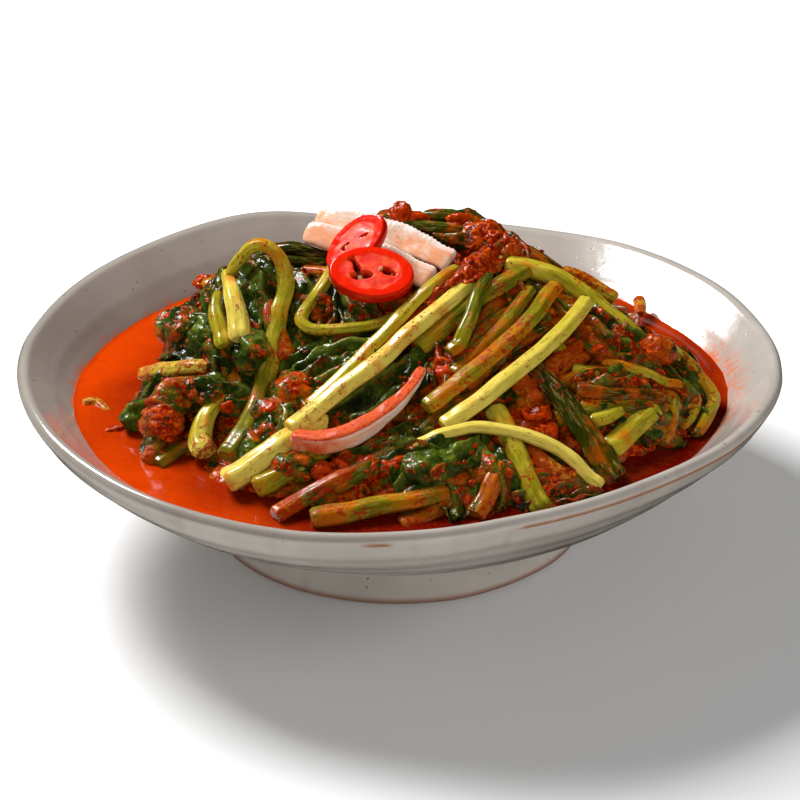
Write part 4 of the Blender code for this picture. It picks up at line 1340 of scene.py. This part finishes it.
# %% The recipe for sowing
def sowing_recipe():
    recipe = Recipe(
        "sown_grains", Grain=bpy.types.Object, Per_square_metre=float, Smallest=float, Largest=float, Flatness=float,
        Seed=int, Material=bpy.types.Material,
    )
    density = recipe.number("sown") * recipe.given("Per_square_metre")
    spread = {"distribute_method": "RANDOM"}
    inputs = {"Mesh": recipe.guide, "Density": density, "Seed": recipe.given("Seed")}
    points = recipe.node("GeometryNodeDistributePointsOnFaces", spread, inputs, "Points")
    spin = recipe.random((-0.6, -0.6, 0.0), (0.6, 0.6, 6.28), 3)
    spin = recipe.node("FunctionNodeEulerToRotation", {}, {0: spin})
    turn = recipe.node("FunctionNodeRotateRotation", {"rotation_space": "LOCAL"}, {0: points.twin("Rotation"), 1: spin})
    size = recipe.random(recipe.given("Smallest"), recipe.given("Largest"), 5)
    shape = recipe.random((0.75, 0.55, 0.8), (1.3, 1.0, 1.2), 8)
    flat = recipe.vector(size, size, size * recipe.given("Flatness"))
    scale = recipe.node("ShaderNodeVectorMath", {"operation": "MULTIPLY"}, {0: shape, 1: flat})
    grain = recipe.node("GeometryNodeObjectInfo", {}, {"Object": recipe.given("Grain")}, "Geometry")
    sown = {"Points": points, "Instance": grain, "Rotation": turn, "Scale": scale}
    recipe.serve(recipe.node("GeometryNodeInstanceOnPoints", {}, sown))
    return recipe


SOWING = sowing_recipe()
print("sowing recipe inputs:", [item.name for item in SOWING.tree.interface.items_tree])


# %% A grain to sow: an uneven blob a millimetre across
def grain_object(name, fineness, roughness, seed):
    made = bmesh.new()
    bmesh.ops.create_icosphere(made, subdivisions=fineness, radius=0.5 * MM)
    for vertex in made.verts:
        place = vertex.co / MM
        place *= 1 + roughness * (noise.noise(place * 3.1 + Vector((seed, 0, 0))) + 0.6 * noise.noise(place * 7.3))
        vertex.co = place * MM
    mesh = bpy.data.meshes.new(name)
    made.to_mesh(mesh)
    made.free()
    return temporary(name, mesh)


def joined(meshes, name):
    """One mesh of several, with the numbers that they all carry."""
    made = bmesh.new()
    for mesh in meshes:
        made.from_mesh(mesh)
    whole = bpy.data.meshes.new(name)
    made.to_mesh(whole)
    made.free()
    return whole


def mark_sown(mesh, share, patch, floor):
    """Where the sauce gathers: noise in patches, more on skins that face up."""
    sown = []
    for vertex in mesh.vertices:
        place = vertex.co / MM
        cloud = noise.noise(place / patch + Vector((3, 8, 1))) + 0.4 * noise.noise(place / (patch * 0.35))
        sown.append(share * smooth(cloud, floor, floor + 0.35) * smooth(vertex.normal.z, -0.3, 0.5) if place.z > BRINE_LEVEL else 0.0)
    store(mesh, "sown", sown)


def paste_finish():
    paste = Finish("chili_paste", IOR=1.34, Specular_IOR_Level=0.28, Coat_Weight=0.12, Coat_Roughness=0.03)
    grit = paste.noise(1.1, 4.0, 0.7)
    patch = paste.noise(6.0, 3.0, 0.6)
    base = paste.blend(patch.rise(0.35, 0.65), srgb(98, 12, 0), srgb(146, 32, 0))
    base = paste.blend(grit.rise(0.52, 0.68) * 0.65, base, srgb(200, 80, 2))
    base = paste.blend(grit.rise(0.46, 0.3) * 0.7, base, srgb(72, 8, 0))
    # painted highlight: the crests of the clots' folds turn bright orange
    base = paste.blend((paste.part("ridge") + grit * 0.8).rise(0.5, 1.0) * 0.5, base, srgb(206, 66, 0))
    # painted shade: the hollows between the clots' folds darken almost to black
    base = paste.blend((paste.part("ridge") + grit).rise(0.5, -0.3) * 0.9, base, srgb(34, 5, 0))
    rough = 0.1 + grit * 0.1
    return paste.finish(Base_Color=base, Roughness=rough, Normal=paste.bump(paste.noise(1.8, 1.5, 0.5) + grit * 0.2, 0.9, 0.8))


PASTE_FINISH = paste_finish()
PASTE_CLOTS = (  # the same numbers as a wad's
    (-0.6, 20, 7.5, 3.0, 3.0, 4.2, 0, 1.0), (-3, 21, 6.0, 4.0, 3.0, 2.6, 20, 1.0), (3.5, 20, 5.5, 4.5, 3.0, 2.2, -20, 1.0),
    (-16, -67, 0.6, 4.6, 3.0, 2.4, 20, 1.0), (-9, -68, 0.4, 5.0, 2.6, 2.4, -10, 1.0), (-2, -68, 1.0, 4.0, 3.0, 2.2, 10, 1.0),
    (-22, -68, 0.2, 3.4, 2.2, 2.0, 0, 1.0), (4, -65, 1.0, 3.6, 2.2, 2.0, 0, 1.0), (38.5, -49, 0.4, 4.5, 3.6, 2.6, 30, 1.0),
    (41, -53, 0.2, 3.6, 3.0, 2.2, 0, 1.0), (13, -39, 0.5, 2.6, 4.0, 2.4, 10, 1.0), (11, -47, 0.2, 3.0, 3.2, 2.0, 0, 1.0),
    (77, -14, 3.0, 4.6, 2.0, 1.8, -20, 1.0), (29, 9, 5.0, 4.0, 2.4, 2.2, -30, 1.0), (18, 17, 5.0, 3.6, 2.4, 2.0, 0, 1.0),
    (-30, -40, 4.5, 3.6, 2.2, 1.8, 40, 1.0), (-52, -37, 2.0, 2.2, 3.2, 1.8, 0, 1.0), (22, -30, 0.4, 2.6, 5.0, 2.0, -30, 1.0),
    (30, -56, 0.6, 4.0, 3.0, 2.0, 0, 1.0), (18, -62, 0.6, 4.0, 3.0, 2.2, 0, 1.0), (-62, 20, 1.0, 4.0, 3.0, 2.2, 0, 1.0),
    (10, 40, 1.0, 5.0, 3.6, 2.4, 0, 1.0), (-20, 38, 1.0, 4.6, 3.0, 2.4, 0, 1.0),
)
CLOT_FOLDS = ((3.4, 0.7), (1.7, 0.6), (0.9, 0.3))
clots = piece("paste_clots", melted(PASTE_CLOTS, 0.5, CLOT_FOLDS, 8.1), PASTE_FINISH, "greens_heap")
for mesh, share in ((bed.data, 0.8), (top_leaves.data, 0.5), (front_layer, 0.7), (back_layer, 0.5), (deep_mesh, 0.6)):
    mark_sown(mesh, share, 12.0, 0.14)
sown_bed = joined([bed.data, top_leaves.data, front_layer, back_layer, deep_mesh], "sown_bed")
mark_sown(top_mesh, 0.5, 8.0, 0.05)
flake = grain_object("flake", 1, 0.5, 2.0)
blob = grain_object("blob", 2, 0.55, 7.0)
flakes = SOWING.run(
    temporary("flake_ground", joined([sown_bed, top_mesh], "flake_ground")), Grain=flake, Per_square_metre=70000.0,
    Smallest=0.25, Largest=0.85, Flatness=0.4, Seed=4, Material=PASTE_FINISH,
)
lumps = SOWING.run(
    temporary("lump_ground", sown_bed), Grain=blob, Per_square_metre=75000.0, Smallest=0.8, Largest=2.3,
    Flatness=0.7, Seed=9, Material=PASTE_FINISH,
)
piece("chili_flakes", flakes, None, "greens_heap")
piece("paste_lumps", lumps, None, "greens_heap")
for grain in (flake, blob):
    bpy.data.objects.remove(grain)

# %% [markdown]
# ## Camera, floor and light
# The picture looks down on the dish at thirty degrees with a long lens. A large soft light stands behind it
# on the left, and a white floor throws light back on the shaded front, as on a studio table.

# %% Stage
ELEVATION = math.radians(30.0)
DISTANCE = 605.4
LOOK_AT = Vector((-0.6, 3.7, 36.4))


def stage_floor():
    floor = Finish("studio_floor", Roughness=0.6)
    tone = floor.noise(240.0, 2.0) * 0.02 + 0.74
    color = floor.node("ShaderNodeCombineColor", {}, {0: tone, 1: tone, 2: tone})
    mesh = mesh_of("floor", [Vector(p) for p in ((-6e3, -6e3, 0), (6e3, -6e3, 0), (6e3, 6e3, 0), (-6e3, 6e3, 0))], [(0, 1, 2, 3)])
    made = temporary("studio_floor", mesh)
    mesh.materials.append(floor.finish(Base_Color=color))
    made.visible_glossy = False


def soft_light(name, direction, distance, size, watts, mirrored=True):
    """A flat lamp; one that isn't mirrored lights the dish but doesn't show as a sheen on wet skins."""
    data = bpy.data.lights.new(name, "AREA")
    data.shape, data.size, data.size_y = "RECTANGLE", *size
    data.energy = watts
    lamp = bpy.data.objects.new(name, data)
    bpy.context.scene.collection.objects.link(lamp)
    lamp.location = Vector(direction).normalized() * distance + Vector((0, 0, 0.05))
    lamp.visible_glossy = mirrored
    lamp.rotation_euler = (-Vector(direction)).to_track_quat("-Z", "Y").to_euler()


stage_floor()
soft_light("key_softbox", (-0.49, 0.446, 0.73), 1.25, (0.45, 0.45), 28.0)
soft_light("front_card", (-0.2, -0.9, 0.36), 1.5, (0.3, 0.3), 4.6, False)
soft_light("right_card", (0.85, -0.25, 0.45), 1.3, (0.5, 0.6), 5.0, False)

world = bpy.data.worlds.new("studio_air")
bpy.context.scene.world = world
world.use_nodes = True
world.node_tree.nodes["Background"].inputs["Color"].default_value = (1.0, 1.0, 1.0, 1.0)
world.node_tree.nodes["Background"].inputs["Strength"].default_value = 0.2
world.cycles_visibility.glossy = False

lens = bpy.data.cameras.new("table_camera")
lens.lens = 85.0
camera = bpy.data.objects.new("table_camera", lens)
bpy.context.scene.collection.objects.link(camera)
camera.location = (Vector((0, -math.cos(ELEVATION), math.sin(ELEVATION))) * DISTANCE + Vector((0, 0, 30))) * MM
camera.rotation_euler = (LOOK_AT * MM - camera.location).to_track_quat("-Z", "Y").to_euler()
bpy.context.scene.camera = camera
bpy.context.scene.view_settings.view_transform = "Standard"
print("camera at", [round(part, 3) for part in camera.location])
